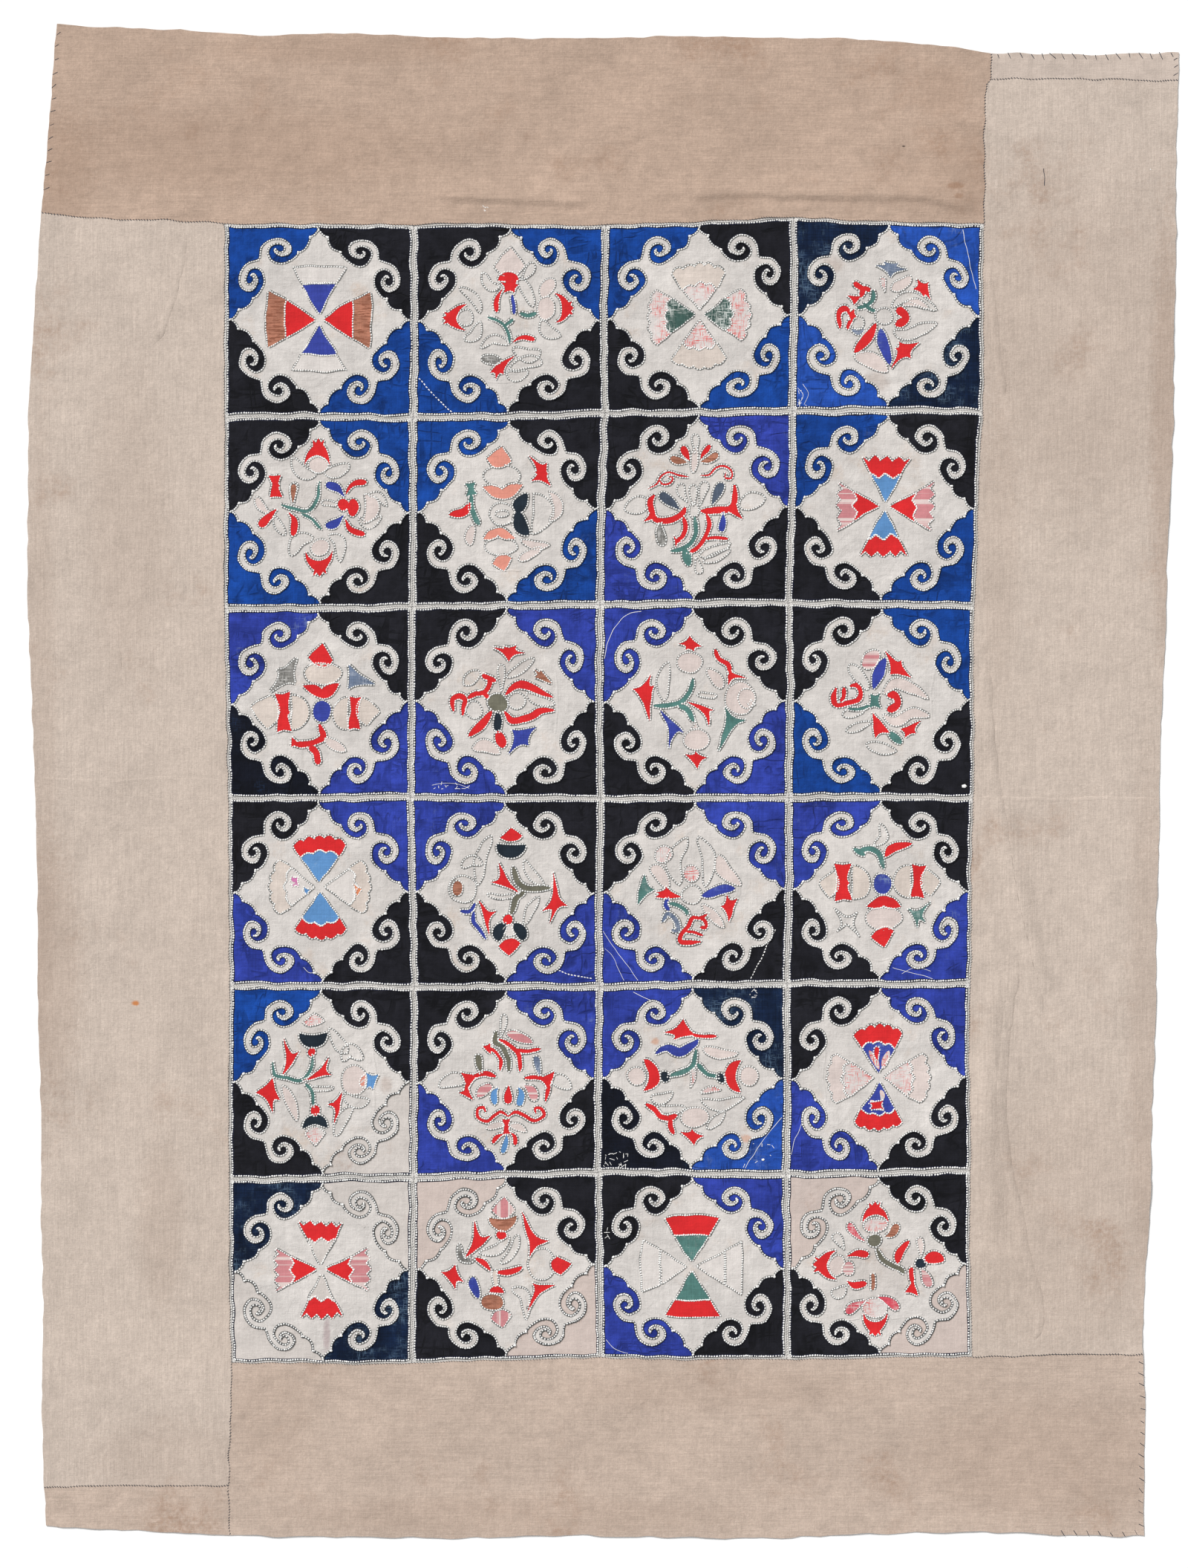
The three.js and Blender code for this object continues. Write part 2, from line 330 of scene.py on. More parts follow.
def cotton(
    name, seen, mottle, streak, wrinkle, weave,
    worn=None, stain=None, stripes=None, crease=0.0, spots=(), grain=0.0, weft=None,
):
    """A woven cotton: colour, unevenness, streaks, wrinkles and weave in mm, what wear has left on it, and
    painted crease shade.
    """
    g = Graph(name)
    broad = g.maths("MULTIPLY", g.around(g.noise(9, 5, 0.6), mottle), g.around(g.noise(55, 4, 0.65), mottle))
    warp_way = g.around(g.noise(30, 3, 0.7, stretch=(18, 0.6)), streak)
    weft_way = g.around(g.noise(30, 3, 0.7, stretch=(0.6, 18)), streak if weft is None else weft)
    level = g.maths("MULTIPLY", g.maths("MULTIPLY", broad, warp_way), weft_way)
    fibre = g.weave()
    # Painted shade in the weave: the colour is a little darker where the threads lie low
    level = g.maths("MULTIPLY", level, g.ramp(fibre, 0.0, 1.0, 0.955, 1.035))
    if grain:
        level = g.maths("MULTIPLY", level, g.around(g.noise(330, 3, 0.7), grain))
    # Painted shade along creases: the colour darkens by the crease share on soft crease lines and is a little
    # lighter off them
    if crease:
        lines = g.maths("MAXIMUM", g.creases((13, 38), 0.25), g.creases((36, 12), -0.2))
        level = g.maths("MULTIPLY", level, g.ramp(lines, 0.0, 1.0, 1.04, 1 - crease))
    shade = g.tint(linear(seen), level)
    if stripes:
        tone, turn, across, along = stripes
        bands = g.noise(1, 3, 0.6, stretch=(across, along), turn=turn)
        shade = g.mix(g.ramp(bands, 0.5, 0.56), shade, linear(tone))
    if stain:
        tone, low, scale = stain
        patches = g.maths(
            "MULTIPLY",
            g.ramp(g.noise(scale, 5, 0.62), low, low + 0.16),
            g.ramp(g.noise(160, 4, 0.7), 0.25, 0.7),
        )
        shade = g.mix(g.maths("MULTIPLY", patches, 0.55), shade, linear(tone))
    if worn:
        tone, low, share = worn
        threads = g.maths(
            "MAXIMUM",
            g.noise(260, 2, 0.6, stretch=(3, 0.35)),
            g.noise(260, 2, 0.6, stretch=(0.35, 3)),
        )
        where = g.maths(
            "MULTIPLY", g.ramp(threads, 0.5, 0.66), g.ramp(g.noise(22, 5, 0.65), low, low + 0.2)
        )
        shade = g.mix(g.maths("MULTIPLY", where, share), shade, linear(tone))
    shade = g.spots(shade, spots)
    g.feed(g.shader.inputs["Base Color"], shade)
    g.shader.inputs["Roughness"].default_value = 0.92
    g.shader.inputs["Specular IOR Level"].default_value = 0.12
    g.shader.inputs["Sheen Weight"].default_value = 0.1
    g.shader.inputs["Sheen Roughness"].default_value = 0.5
    soft = g.bump(g.noise(26, 4, 0.5, distort=0.6), 3.2 * wrinkle, 0.6)
    fine = g.bump(g.noise(95, 3, 0.6, distort=0.8), 0.8 * wrinkle, 0.6, soft)
    if crease:
        fine = g.bump(lines, -1.2, 0.8, fine)
    g.feed(g.shader.inputs["Normal"], g.bump(fibre, weave, 0.6, fine))
    return g.material


def thread(name, seen, level):
    """A sewing thread or cord, or a strip of painted shade: its colour, uneven by a share of it."""
    g = Graph(name)
    g.feed(g.shader.inputs["Base Color"], g.tint(linear(seen), g.around(g.noise(120, 3, 0.6), level)))
    g.shader.inputs["Roughness"].default_value = 0.85
    g.shader.inputs["Specular IOR Level"].default_value = 0.15
    g.shader.inputs["Sheen Weight"].default_value = 0.1
    g.feed(g.shader.inputs["Normal"], g.bump(g.noise(1500, 2, 0.5), 0.3, 0.5))
    return g.material


# Colours of stains and worn threads, and stains as x, y, reach across and up in mm, colour and strength
BROWNISH = (158, 122, 98)
RUST = (206, 128, 66)
DUSKY = (150, 118, 96)
DARK_SPOT = (60, 50, 46)
PALE_BLUE = (150, 170, 200)
TOP_SPOTS = [
    (-470, 800, 300, 60, DUSKY, 0.16), (-690, 760, 50, 110, DUSKY, 0.2), (560, 770, 200, 90, DUSKY, 0.16),
    (445, 753, 13, 5, BROWNISH, 0.6), (450, 740, 6, 4, BROWNISH, 0.5), (380, 803, 2.5, 1.5, DARK_SPOT, 0.8),
    (-330, 925, 200, 20, DUSKY, 0.14), (430, 870, 40, 40, DUSKY, 0.2),
]
SIDE_SPOTS = [
    (-592, -281, 5, 4, RUST, 0.9), (600, 560, 190, 260, DUSKY, 0.14), (600, -560, 170, 200, DUSKY, 0.12),
    (690, -330, 30, 420, DUSKY, 0.14), (-715, 20, 26, 500, DUSKY, 0.14), (-540, -860, 120, 60, DUSKY, 0.12),
    (-600, 330, 60, 220, DUSKY, 0.1), (500, 300, 30, 200, DUSKY, 0.1),
    (714, 430, 24, 330, DUSKY, 0.26), (-700, -240, 46, 190, DUSKY, 0.22), (-560, -560, 34, 120, DUSKY, 0.14),
]
FOOT_SPOTS = [
    (560, -860, 200, 90, DUSKY, 0.16), (-120, -930, 320, 30, DUSKY, 0.14), (160, -770, 220, 30, DUSKY, 0.1),
    (-420, -800, 60, 100, DUSKY, 0.1),
]
FIELD_SPOTS = [
    (66, -329, 6, 5, RUST, 0.5), (34, -370, 7, 5, RUST, 0.4), (180, -452, 8, 6, RUST, 0.45),
    (290, 652, 16, 12, BROWNISH, 0.3), (344, 505, 20, 14, BROWNISH, 0.25), (-275, -384, 9, 12, BROWNISH, 0.3),
    (-350, -700, 5, 26, (150, 112, 120), 0.4), (-230, 640, 20, 26, DUSKY, 0.12),
    (-352, 350, 70, 40, DUSKY, 0.08), (-120, 120, 50, 60, DUSKY, 0.1), (352, -620, 60, 40, DUSKY, 0.1),
]
# The cloths: colour as seen (0 to 255), mottle, streak, wrinkle, weave, and what else each shows; crease is
# the share of painted shade along its creases
CLOTH_ROWS = {
    "": {
        "border_top": ((193, 168, 150), 0.06, 0.035, 0.9, 0.35, dict(
            stain=(BROWNISH, 0.52, 6), spots=TOP_SPOTS, grain=0.07, weft=0.075,
        )),
        "border_side": ((207, 191, 178), 0.045, 0.075, 0.9, 0.35, dict(
            stain=(BROWNISH, 0.56, 6), spots=SIDE_SPOTS, grain=0.07, weft=0.025,
        )),
        "border_foot": ((200, 180, 165), 0.06, 0.04, 0.9, 0.35, dict(
            stain=(BROWNISH, 0.54, 6), spots=FOOT_SPOTS, grain=0.07, weft=0.07,
        )),
        "border_strip": ((206, 190, 178), 0.07, 0.05, 0.9, 0.35, dict(stain=(BROWNISH, 0.58, 9))),
    },
    "_cloth": {
        "blue": ((20, 66, 146), 0.2, 0.08, 2.2, 0.15, dict(worn=(PALE_BLUE, 0.62, 0.4), crease=0.32)),
        "midblue": ((36, 78, 168), 0.19, 0.1, 1.8, 0.15, dict(worn=(PALE_BLUE, 0.55, 0.45), crease=0.28)),
        "violet": ((48, 64, 157), 0.19, 0.1, 1.9, 0.15, dict(worn=(PALE_BLUE, 0.58, 0.45), crease=0.3)),
        "black": ((28, 28, 34), 0.24, 0.08, 2.2, 0.15, dict(crease=0.4)),
        "inky": ((16, 19, 30), 0.25, 0.15, 1.6, 0.15, dict(worn=((50, 76, 116), 0.54, 0.35), crease=0.25)),
        "navy": ((14, 29, 54), 0.3, 0.25, 1.2, 0.2, dict(worn=((120, 150, 178), 0.46, 0.42))),
        "cream": ((207, 191, 183), 0.05, 0.04, 1.2, 0.2, dict(stain=(BROWNISH, 0.62, 12))),
        "faded": ((210, 202, 196), 0.05, 0.04, 1.4, 0.2, dict(stain=(BROWNISH, 0.6, 14))),
        "field": ((217, 211, 206), 0.07, 0.045, 1.8, 0.3, dict(
            stain=((204, 180, 160), 0.55, 14), spots=FIELD_SPOTS,
        )),
        "sash": ((224, 220, 215), 0.06, 0.04, 1.4, 0.3, dict()),
    },
    "_patch": {
        "red": ((217, 44, 47), 0.06, 0.05, 1.2, 0.12, dict()),
        "peach": ((228, 151, 133), 0.05, 0.05, 1.0, 0.12, dict()),
        "teal": ((84, 126, 120), 0.15, 0.1, 1.0, 0.12, dict(worn=((205, 215, 210), 0.52, 0.6))),
        "green": ((62, 88, 82), 0.2, 0.1, 1.0, 0.12, dict(worn=((215, 220, 215), 0.4, 0.9))),
        "sky": ((97, 146, 199), 0.08, 0.06, 1.2, 0.12, dict(worn=((200, 220, 240), 0.6, 0.7))),
        "brown": ((178, 120, 98), 0.15, 0.1, 1.4, 0.2, dict(stripes=((146, 92, 72), 1.0, 60, 420))),
        "rose": ((206, 136, 140), 0.06, 0.05, 1.0, 0.15, dict(stripes=((226, 206, 201), 0, 0.5, 150))),
        "slate": ((108, 122, 146), 0.15, 0.12, 1.0, 0.15, dict(worn=((200, 205, 215), 0.42, 0.8))),
        "olive": ((112, 110, 96), 0.12, 0.1, 1.0, 0.15, dict()),
        "grey": ((126, 124, 120), 0.2, 0.2, 1.0, 0.2, dict(worn=((215, 212, 208), 0.36, 0.8))),
        "pale": ((220, 205, 199), 0.06, 0.05, 1.2, 0.2, dict()),
        "beige": ((217, 204, 194), 0.06, 0.05, 1.2, 0.2, dict()),
        "ivory": ((223, 216, 211), 0.05, 0.04, 1.2, 0.2, dict()),
        "worn": ((222, 215, 211), 0.05, 0.04, 1.6, 0.2, dict(worn=((222, 72, 70), 0.4, 0.95))),
        "flecked": ((214, 84, 98), 0.08, 0.08, 1.6, 0.2, dict(worn=((228, 214, 210), 0.44, 0.9))),
        "indigo": ((58, 70, 157), 0.1, 0.1, 1.2, 0.12, dict(worn=(PALE_BLUE, 0.52, 0.7))),
        "ink": ((36, 46, 56), 0.15, 0.1, 1.2, 0.12, dict()),
        "steel": ((80, 90, 106), 0.15, 0.1, 1.0, 0.15, dict(worn=((170, 176, 186), 0.56, 0.6))),
        "striped": ((206, 136, 140), 0.06, 0.05, 1.0, 0.15, dict(stripes=((226, 206, 201), 0, 170, 0.5))),
        "magenta": ((205, 120, 170), 0.1, 0.1, 1.2, 0.15, dict(worn=((222, 214, 212), 0.46, 0.8))),
        "rust": ((226, 140, 100), 0.1, 0.1, 1.2, 0.15, dict(worn=((222, 214, 208), 0.48, 0.8))),
    },
}
CLOTHS = {
    name: cotton(name + ending, *looks, **more)
    for ending, rows in CLOTH_ROWS.items() for name, (*looks, more) in rows.items()
}
WHITE_CORD = thread("white_cord", (252, 251, 248), 0.05)
DARK_THREAD = thread("dark_thread", (66, 68, 76), 0.2)
GREY_THREAD = thread("grey_thread", (156, 153, 150), 0.25)
# Painted shade and thread: grey strips and dashes for the shade beside and between beads, partly the couching
# thread that shows between them
PAINTED_SHADE_AND_THREAD = thread("painted_shade_and_thread", (120, 119, 116), 0.3)
# Painted shade: a pale grey strip beside and between the beads of white work
PAINTED_PALE_SHADE = thread("painted_pale_shade", (158, 155, 152), 0.25)
# Painted shadow: a dark strip under the cords and beside them on the coloured cloth, where the field's edge
# and the beads shade it
PAINTED_EDGE_SHADOW = thread("painted_edge_shadow", (30, 33, 52), 0.2)


def make(name, parts, node=None, crisp=50):
    """One object from parts of (vertices in mm, faces, one material or one for each face)."""
    points, faces, materials, marks = [], [], [], []
    base = 0
    for vertices, part_faces, material in parts:
        each = material if isinstance(material, list) else [material] * len(part_faces)
        for found in each:
            if found not in materials:
                materials.append(found)
            marks.append(materials.index(found))
        points.append(np.asarray(vertices, float) * MM)
        faces.extend([[base + k for k in f] for f in part_faces])
        base += len(vertices)
    mesh = bpy.data.meshes.new(name)
    mesh.from_pydata(np.concatenate(points).tolist(), [], faces)
    for material in materials:
        mesh.materials.append(material)
    mesh.polygons.foreach_set("material_index", marks)
    mesh.polygons.foreach_set("use_smooth", [True] * len(faces))
    if crisp:
        mesh.set_sharp_from_angle(angle=math.radians(crisp))
    mesh.update()
    obj = bpy.data.objects.new(name, mesh)
    bpy.context.collection.objects.link(obj)
    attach(obj, "root")
    if node:
        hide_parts(node)
    return obj


def grid_slab(x, y, top, bottom):
    """A closed sheet from grids of x, y and heights; rows run up, columns across. Top faces come first."""
    index = np.arange(x.size).reshape(x.shape)
    size = x.size
    points = np.concatenate([np.stack([x.ravel(), y.ravel(), z.ravel()], axis=1) for z in (top, bottom)])
    corners = (index[:-1, :-1], index[:-1, 1:], index[1:, 1:], index[1:, :-1])
    tops = [tuple(f) for f in np.stack([c.ravel() for c in corners], axis=1).tolist()]
    low, right, high, left = (side.tolist() for side in (index[0], index[:, -1], index[-1], index[:, 0]))
    rim = [*zip(low, low[1:]), *zip(right, right[1:]), *zip(high[1:], high), *zip(left[1:], left)]
    under = [tuple(k + size for k in reversed(f)) for f in tops]
    return points, tops + under + [(a, a + size, b + size, b) for a, b in rim]


# Border


def on_line(line, places):
    """Points on a line, each of whose stretches counts as equally long, at places from 0 to 1."""
    line = np.array(line, float)
    at = np.clip(np.asarray(places), 0, 1) * (len(line) - 1)
    i = np.minimum(np.floor(at).astype(int), len(line) - 2)
    share = (at - i)[:, None]
    return line[i] * (1 - share) + line[i + 1] * share


def cuts(runs):
    """Places from 0 to 1 that cut each of a side's stretches into its run of parts."""
    places = [0.0]
    for i, count in enumerate(runs):
        places += [(i + k / count) / len(runs) for k in range(1, count + 1)]
    return np.array(places)


def coons(piece, us, vs):
    """The flat points of a border piece, spanned between its four edges."""
    bottom, top = on_line(piece["bottom"], us), on_line(piece["top"], us)
    left, right = on_line(piece["left"], vs), on_line(piece["right"], vs)
    u, v = us[None, :, None], vs[:, None, None]
    low = (1 - u) * bottom[0] + u * bottom[-1]
    high = (1 - u) * top[0] + u * top[-1]
    upright = (1 - v) * bottom[None] + v * top[None]
    return upright + (1 - u) * left[:, None] + u * right[:, None] - (1 - v) * low - v * high


BORDER_LIFT = 0.25


def border_bottom(x, y):
    return np.maximum(0, lift(x, y) + BORDER_LIFT + sway(SWELL, x, y) + sway(RUCK, x, y))


def border_top(x, y):
    return border_bottom(x, y) + BORDER_THICK


BORDER_CLOTH = {
    "panel_top": "border_top",
    "strip_right_top": "border_strip",
    "panel_bottom": "border_foot",
    "strip_left_bottom": "border_foot",
}

for name, piece in BORDER.items():
    us, vs = cuts(piece["across"]), cuts(piece["up"])
    flat = coons(piece, us, vs)
    x = flat[:, :, 0] + HALF_GAP * (1 - 2 * us[None, :])
    y = flat[:, :, 1] + HALF_GAP * (1 - 2 * vs[:, None])
    wx, wy = warp(x, y)
    points, faces = grid_slab(wx, wy, border_top(x, y), border_bottom(x, y))
    cloth = CLOTHS[BORDER_CLOTH.get(name, "border_side")]
    obj = make(f"border_{name}", [(points, faces, cloth)], name)

# Each block's corner cloths: top left, top right, bottom left and bottom right. Where the lower two mirror
# the upper two, only those are given
CORNERS = [
    ["blue black", "black blue", "blue black", "navy midblue"],
    ["black blue", "blue black", "black violet", "blue black"],
    ["violet black inky violet", "black violet", "violet black", "black blue"],
    ["black violet", "violet black", "black violet", "violet black"],
    ["blue black black faded", "black violet", "violet navy inky midblue", "black violet"],
    ["navy faded", "cream black", "black violet", "cream black"],
]
PALE_CLOTHS = ("cream", "faded")
WHITE_WORK = ("none", "pale", "worn", "ivory")
# Where the edge strip starts and its cord lies, in parts of a half block
EDGE_LINE, EDGE_CORD = 0.9565, 0.9675
# The strip rounds off into the seam from here on, by this much, and stays this high
RIM_FROM, RIM_FALL, RIM_LEAST = 0.975, 0.5, 0.45
UNDERSIDE = 0.05
# Each patch lies a little over the one before it, so that no two tops meet
PATCH_RISE, PATCH_STEP = 0.4, 0.012
BEAD_PITCH = 3.05
# Spacing of the points along and inside the outlines of fields and of patches
FIELD_POINTS, FIELD_GRID = 4.5, 9.5
PATCH_POINTS, PATCH_GRID = 5, 8
# The field's cloth and cord lie this far inside its outline, a coloured patch's cord this far outside
CLOTH_INSET, CORD_INSET, CORD_OUTSET = 0.4, 1.05, 0.9
# A field's underside clears its ground; a patch's underside and the field's cord sink into the field
FIELD_CLEAR, PATCH_SINK, CORD_SINK = 0.15, 0.3, 0.35


def placer(row, column):
    """A function from a block's own u, v (from -1 to 1) to flat x, y."""
    top_left, top_right = CROSS[row][column], CROSS[row][column + 1]
    low_left, low_right = CROSS[row + 1][column], CROSS[row + 1][column + 1]

    def place(uv):
        uv = np.asarray(uv, float)
        s = (1 + uv[..., 0:1]) / 2
        t = (1 + uv[..., 1:2]) / 2
        low = (1 - s) * low_left + s * low_right
        high = (1 - s) * top_left + s * top_right
        return (1 - t) * low + t * high

    return place


def ground_top(x, y):
    return GROUND_THICK + sway(PUCKER, x, y)


def over_ground(x, y):
    return ground_top(x, y) + 0.12


def field_top(x, y):
    return ground_top(x, y) + FIELD_RISE + 0.7 * sway(RUCK, y, x)


def over_field(x, y):
    return field_top(x, y) + 0.14


def aside(way):
    """The ways to the left of ways along."""
    return np.stack([-way[:, 1], way[:, 0]], axis=1)


def within(points, outline):
    """Whether each point is inside a closed outline."""
    a, b = outline, np.roll(outline, -1, axis=0)
    px, py = points[:, :1], points[:, 1:]
    crosses = (a[:, 1] > py) != (b[:, 1] > py)
    rise = np.where(b[:, 1] == a[:, 1], 1e-9, b[:, 1] - a[:, 1])
    at = a[:, 0] + (py - a[:, 1]) * (b[:, 0] - a[:, 0]) / rise
    return (crosses & (px < at)).sum(axis=1) % 2 == 1


def slab(outline, spacing, top, bottom):
    """A closed sheet inside an outline, cut into triangles with points about spacing apart inside it."""
    outline = np.asarray(outline, float)
    low, high = outline.min(axis=0), outline.max(axis=0)
    xs = np.arange(low[0] + spacing / 2, high[0], spacing)
    ys = np.arange(low[1] + spacing / 2, high[1], spacing)
    inner = np.array([(x, y) for x in xs for y in ys]).reshape(-1, 2)
    if len(inner):
        away = np.hypot(inner[:, :1] - outline[:, 0], inner[:, 1:] - outline[:, 1]).min(axis=1)
        inner = inner[within(inner, outline) & (away > 0.42 * spacing)]
    count = len(outline)
    found = delaunay_2d_cdt(
        [Vector(p) for p in outline] + [Vector(p) for p in inner], [], [list(range(count))], 1, 1e-4
    )
    flat = np.array([tuple(p) for p in found[0]])
    tris = []
    for f in found[2]:
        for k in range(1, len(f) - 1):
            i, j, m = f[0], f[k], f[k + 1]
            (ax, ay), (bx, by) = flat[j] - flat[i], flat[m] - flat[i]
            turn = ax * by - ay * bx
            if abs(turn) > 1e-6:
                tris.append((i, j, m) if turn > 0 else (i, m, j))
    middles = np.array([flat[list(f)].mean(axis=0) for f in tris])
    tris = [f for f, inside in zip(tris, within(middles, outline)) if inside]
    used = sorted({k for f in tris for k in f})
    index = {k: i for i, k in enumerate(used)}
    flat = flat[used]
    tris = [tuple(index[k] for k in f) for f in tris]
    size = len(flat)
    x, y = flat.T
    points = np.concatenate([np.stack([*warp(x, y), level(x, y)], axis=1) for level in (top, bottom)])
    edges = {(f[k], f[(k + 1) % 3]) for f in tris for k in range(3)}
    faces = tris + [tuple(k + size for k in reversed(f)) for f in tris]
    faces += [(a, a + size, b + size, b) for a, b in sorted(edges) if (b, a) not in edges]
    return points, faces


def resample(line, pitch, closed):
    """Points about pitch apart along a line, with its direction there."""
    line = np.asarray(line, float)
    if closed:
        line = np.concatenate([line, line[:1]])
    steps = np.hypot(*(line[1:] - line[:-1]).T)
    keep = np.concatenate([[True], steps > 1e-9])
    line = line[keep]
    steps = np.hypot(*(line[1:] - line[:-1]).T)
    run = np.concatenate([[0], np.cumsum(steps)])
    count = max(2, round(run[-1] / pitch))
    at = (np.arange(count) + 0.5) / count * run[-1]
    i = np.clip(np.searchsorted(run, at) - 1, 0, len(steps) - 1)
    share = ((at - run[i]) / steps[i])[:, None]
    points = line[i] * (1 - share) + line[i + 1] * share
    way = (line[i + 1] - line[i]) / steps[i][:, None]
    return points, way


# A bead: a low frustum with five sides and no foot
SIDES = 5
RING = np.array([(math.cos(math.tau * k / SIDES), math.sin(math.tau * k / SIDES)) for k in range(SIDES)])
BEAD = np.concatenate([
    np.column_stack([RING, np.zeros(SIDES)]),
    np.column_stack([RING * 0.74, np.ones(SIDES)]),
])
BEAD_FACES = [(k, (k + 1) % SIDES, SIDES + (k + 1) % SIDES, SIDES + k) for k in range(SIDES)]
BEAD_FACES.append(tuple(range(SIDES, 2 * SIDES)))


# How uneven the beads are in size, in mm of place and in radians of turn
BEAD_SIZE, BEAD_PLACE, BEAD_TURN = 0.1, 0.14, 0.2


def beads(points, way, base, rng, along=1.4, across=1.25, height=1.1):
    """One bead of cord at each point, lying along the line."""
    count = len(points)
    size = 1 + BEAD_SIZE * rng.standard_normal(count).clip(-1.5, 1.5)
    points = points + BEAD_PLACE * rng.standard_normal((count, 2))
    turn = np.arctan2(way[:, 1], way[:, 0]) + BEAD_TURN * rng.standard_normal(count)
    cos, sin = np.cos(turn)[:, None], np.sin(turn)[:, None]
    bx = BEAD[None, :, 0] * along * size[:, None]
    by = BEAD[None, :, 1] * across * size[:, None]
    x, y = warp(points[:, 0], points[:, 1])
    vertices = np.stack([
        x[:, None] + bx * cos - by * sin,
        y[:, None] + bx * sin + by * cos,
        base[:, None] + BEAD[None, :, 2] * height * size[:, None],
    ], axis=2).reshape(-1, 3)
    step = len(BEAD)
    faces = [[k + n * step for k in f] for n in range(count) for f in BEAD_FACES]
    return vertices, faces


def ticks(points, way, base, rng, length=3.3, width=0.8, slant=0.0, height=0.35):
    """One low stitch across the line at each point."""
    count = len(points)
    turn = np.arctan2(way[:, 1], way[:, 0]) + math.pi / 2 + slant + 0.12 * rng.standard_normal(count)
    half = length / 2 * (1 + 0.15 * rng.standard_normal(count).clip(-2, 2))
    cos, sin = np.cos(turn), np.sin(turn)
    x, y = warp(points[:, 0], points[:, 1])
    corners = []
    for along, aside, up in ((-1, -1, 0), (1, -1, 0), (1, 0, 1), (-1, 0, 1), (1, 1, 0), (-1, 1, 0)):
        a, b = along * half, aside * width / 2
        corners.append(np.stack([x + a * cos - b * sin, y + a * sin + b * cos, base + up * height], axis=1))
    vertices = np.stack(corners, axis=1).reshape(-1, 3)
    faces = []
    for n in range(count):
        k = 6 * n
        faces += [(k, k + 1, k + 2, k + 3), (k + 3, k + 2, k + 4, k + 5)]
    return vertices, faces


def dashes(points, way, top, rise, rng):
    """The turns of thread that show between the beads of a cord."""
    between = points + BEAD_PITCH / 2 * way
    return ticks(between, way, top(*between.T) + rise, rng, length=2.5, width=0.75)


def ribbon(points, way, inner, outer, top, keep=None):
    """A flat strip of painted shade beside a closed row of beads, which partly stands for the thread between
    them; inner is to the left of the way along.
    """
    rows = []
    for reach in (inner, -outer):
        p = points + aside(way) * reach
        rows.append(np.stack([*warp(*p.T), top(*p.T)], axis=1))
    count = len(points)
    vertices = np.concatenate(rows)
    faces = []
    for k in range(count):
        m = (k + 1) % count
        if keep is None or (keep[k] and keep[m]):
            faces.append((k, k + count, m + count, m))
    return vertices, faces


# One white field: left upper side from the tip to the corner notch; a half block is 1 long
TIP, CUSP_1, CUSP_2, NOTCH = (-0.96, 0), (-0.862, 0.109), (-0.71, 0.234), (-0.627, 0.627)
# The horn's channel and then its arm, as angles in degrees and radii about its centre
HORN_CENTRE = (-0.732, 0.42)
CHANNEL_SIDE = [
    (287, 0.185), (302, 0.170), (318, 0.163), (333, 0.160), (350, 0.158), (363, 0.155), (378, 0.150),
    (390, 0.144), (404, 0.133), (418, 0.122), (426, 0.115), (440, 0.098), (454, 0.080), (466, 0.068),
    (478, 0.058), (496, 0.050), (514, 0.044), (536, 0.041), (559, 0.039), (580, 0.039), (600, 0.041),
    (616, 0.042), (632, 0.043), (664, 0.042), (698, 0.043), (725, 0.039), (763, 0.032),
]
ARM_SIDE = [
    (813, 0.036), (796, 0.058), (777, 0.071), (753, 0.080), (730, 0.089), (709, 0.098), (691, 0.103),
    (668, 0.113), (648, 0.122), (630, 0.127), (613, 0.127), (591, 0.125), (570, 0.122), (550, 0.124),
    (530, 0.129), (508, 0.138), (486, 0.152), (469, 0.168), (454, 0.185), (438, 0.20),
]


def bow(a, b, dent, steps):
    """Points after a up to b on a curve that bows dent to the right of the way."""
    a, b = np.array(a), np.array(b)
    way = b - a
    right = np.array([way[1], -way[0]]) / np.hypot(*way)
    return [a + way * t + right * dent * 4 * t * (1 - t) for t in np.linspace(0, 1, steps + 1)[1:]]


def field_outline():
    """The field's outline: a half side, mirrored across the diagonal and turned four times."""
    half = [np.array(TIP)] + bow(TIP, CUSP_1, 0.02, 5) + bow(CUSP_1, CUSP_2, 0.041, 7)
    for angle, radius in CHANNEL_SIDE + ARM_SIDE:
        turn = math.radians(angle)
        half.append(np.array(HORN_CENTRE) + radius * np.array([math.cos(turn), math.sin(turn)]))
    other = [np.array([-v, -u]) for u, v in half][::-1]
    quarter = half + [np.array(NOTCH)] + other[:-1]
    whole = []
    for turn in range(4):
        cos, sin = [(1, 0), (0, -1), (-1, 0), (0, 1)][turn]
        whole += [(u * cos - v * sin, u * sin + v * cos) for u, v in quarter]
    return np.array(whole)


FIELD = field_outline()
# The larger beads at the cusps
KNOBS = [
    (sign_u * u, sign_v * v)
    for a, b in (CUSP_1, CUSP_2) for u, v in ((a, b), (b, a)) for sign_u in (1, -1) for sign_v in (1, -1)
]


WOBBLE = 0.0045


def wobble(uv, rng):
    """A hand-cut unevenness of a whole outline."""
    u, v = uv[:, 0].copy(), uv[:, 1].copy()
    for k in (2.2, 4.1, 6.3):
        a, b, c, d = rng.uniform(0, math.tau, 4)
        u = u + WOBBLE * np.sin(k * uv[:, 1] + a) * np.cos(k * uv[:, 0] + b)
        v = v + WOBBLE * np.sin(k * uv[:, 0] + c) * np.cos(k * uv[:, 1] + d)
    return np.stack([u, v], axis=1)


# Motif shapes, in hundredths of a half block; angles are in degrees from the right, turning left
TOUCH = 1e-6


def turned(points, centre, angle):
    a = math.radians(angle)
    points = np.asarray(points, float)
    return np.stack([
        centre[0] + points[:, 0] * math.cos(a) - points[:, 1] * math.sin(a),
        centre[1] + points[:, 0] * math.sin(a) + points[:, 1] * math.cos(a),
    ], axis=1)


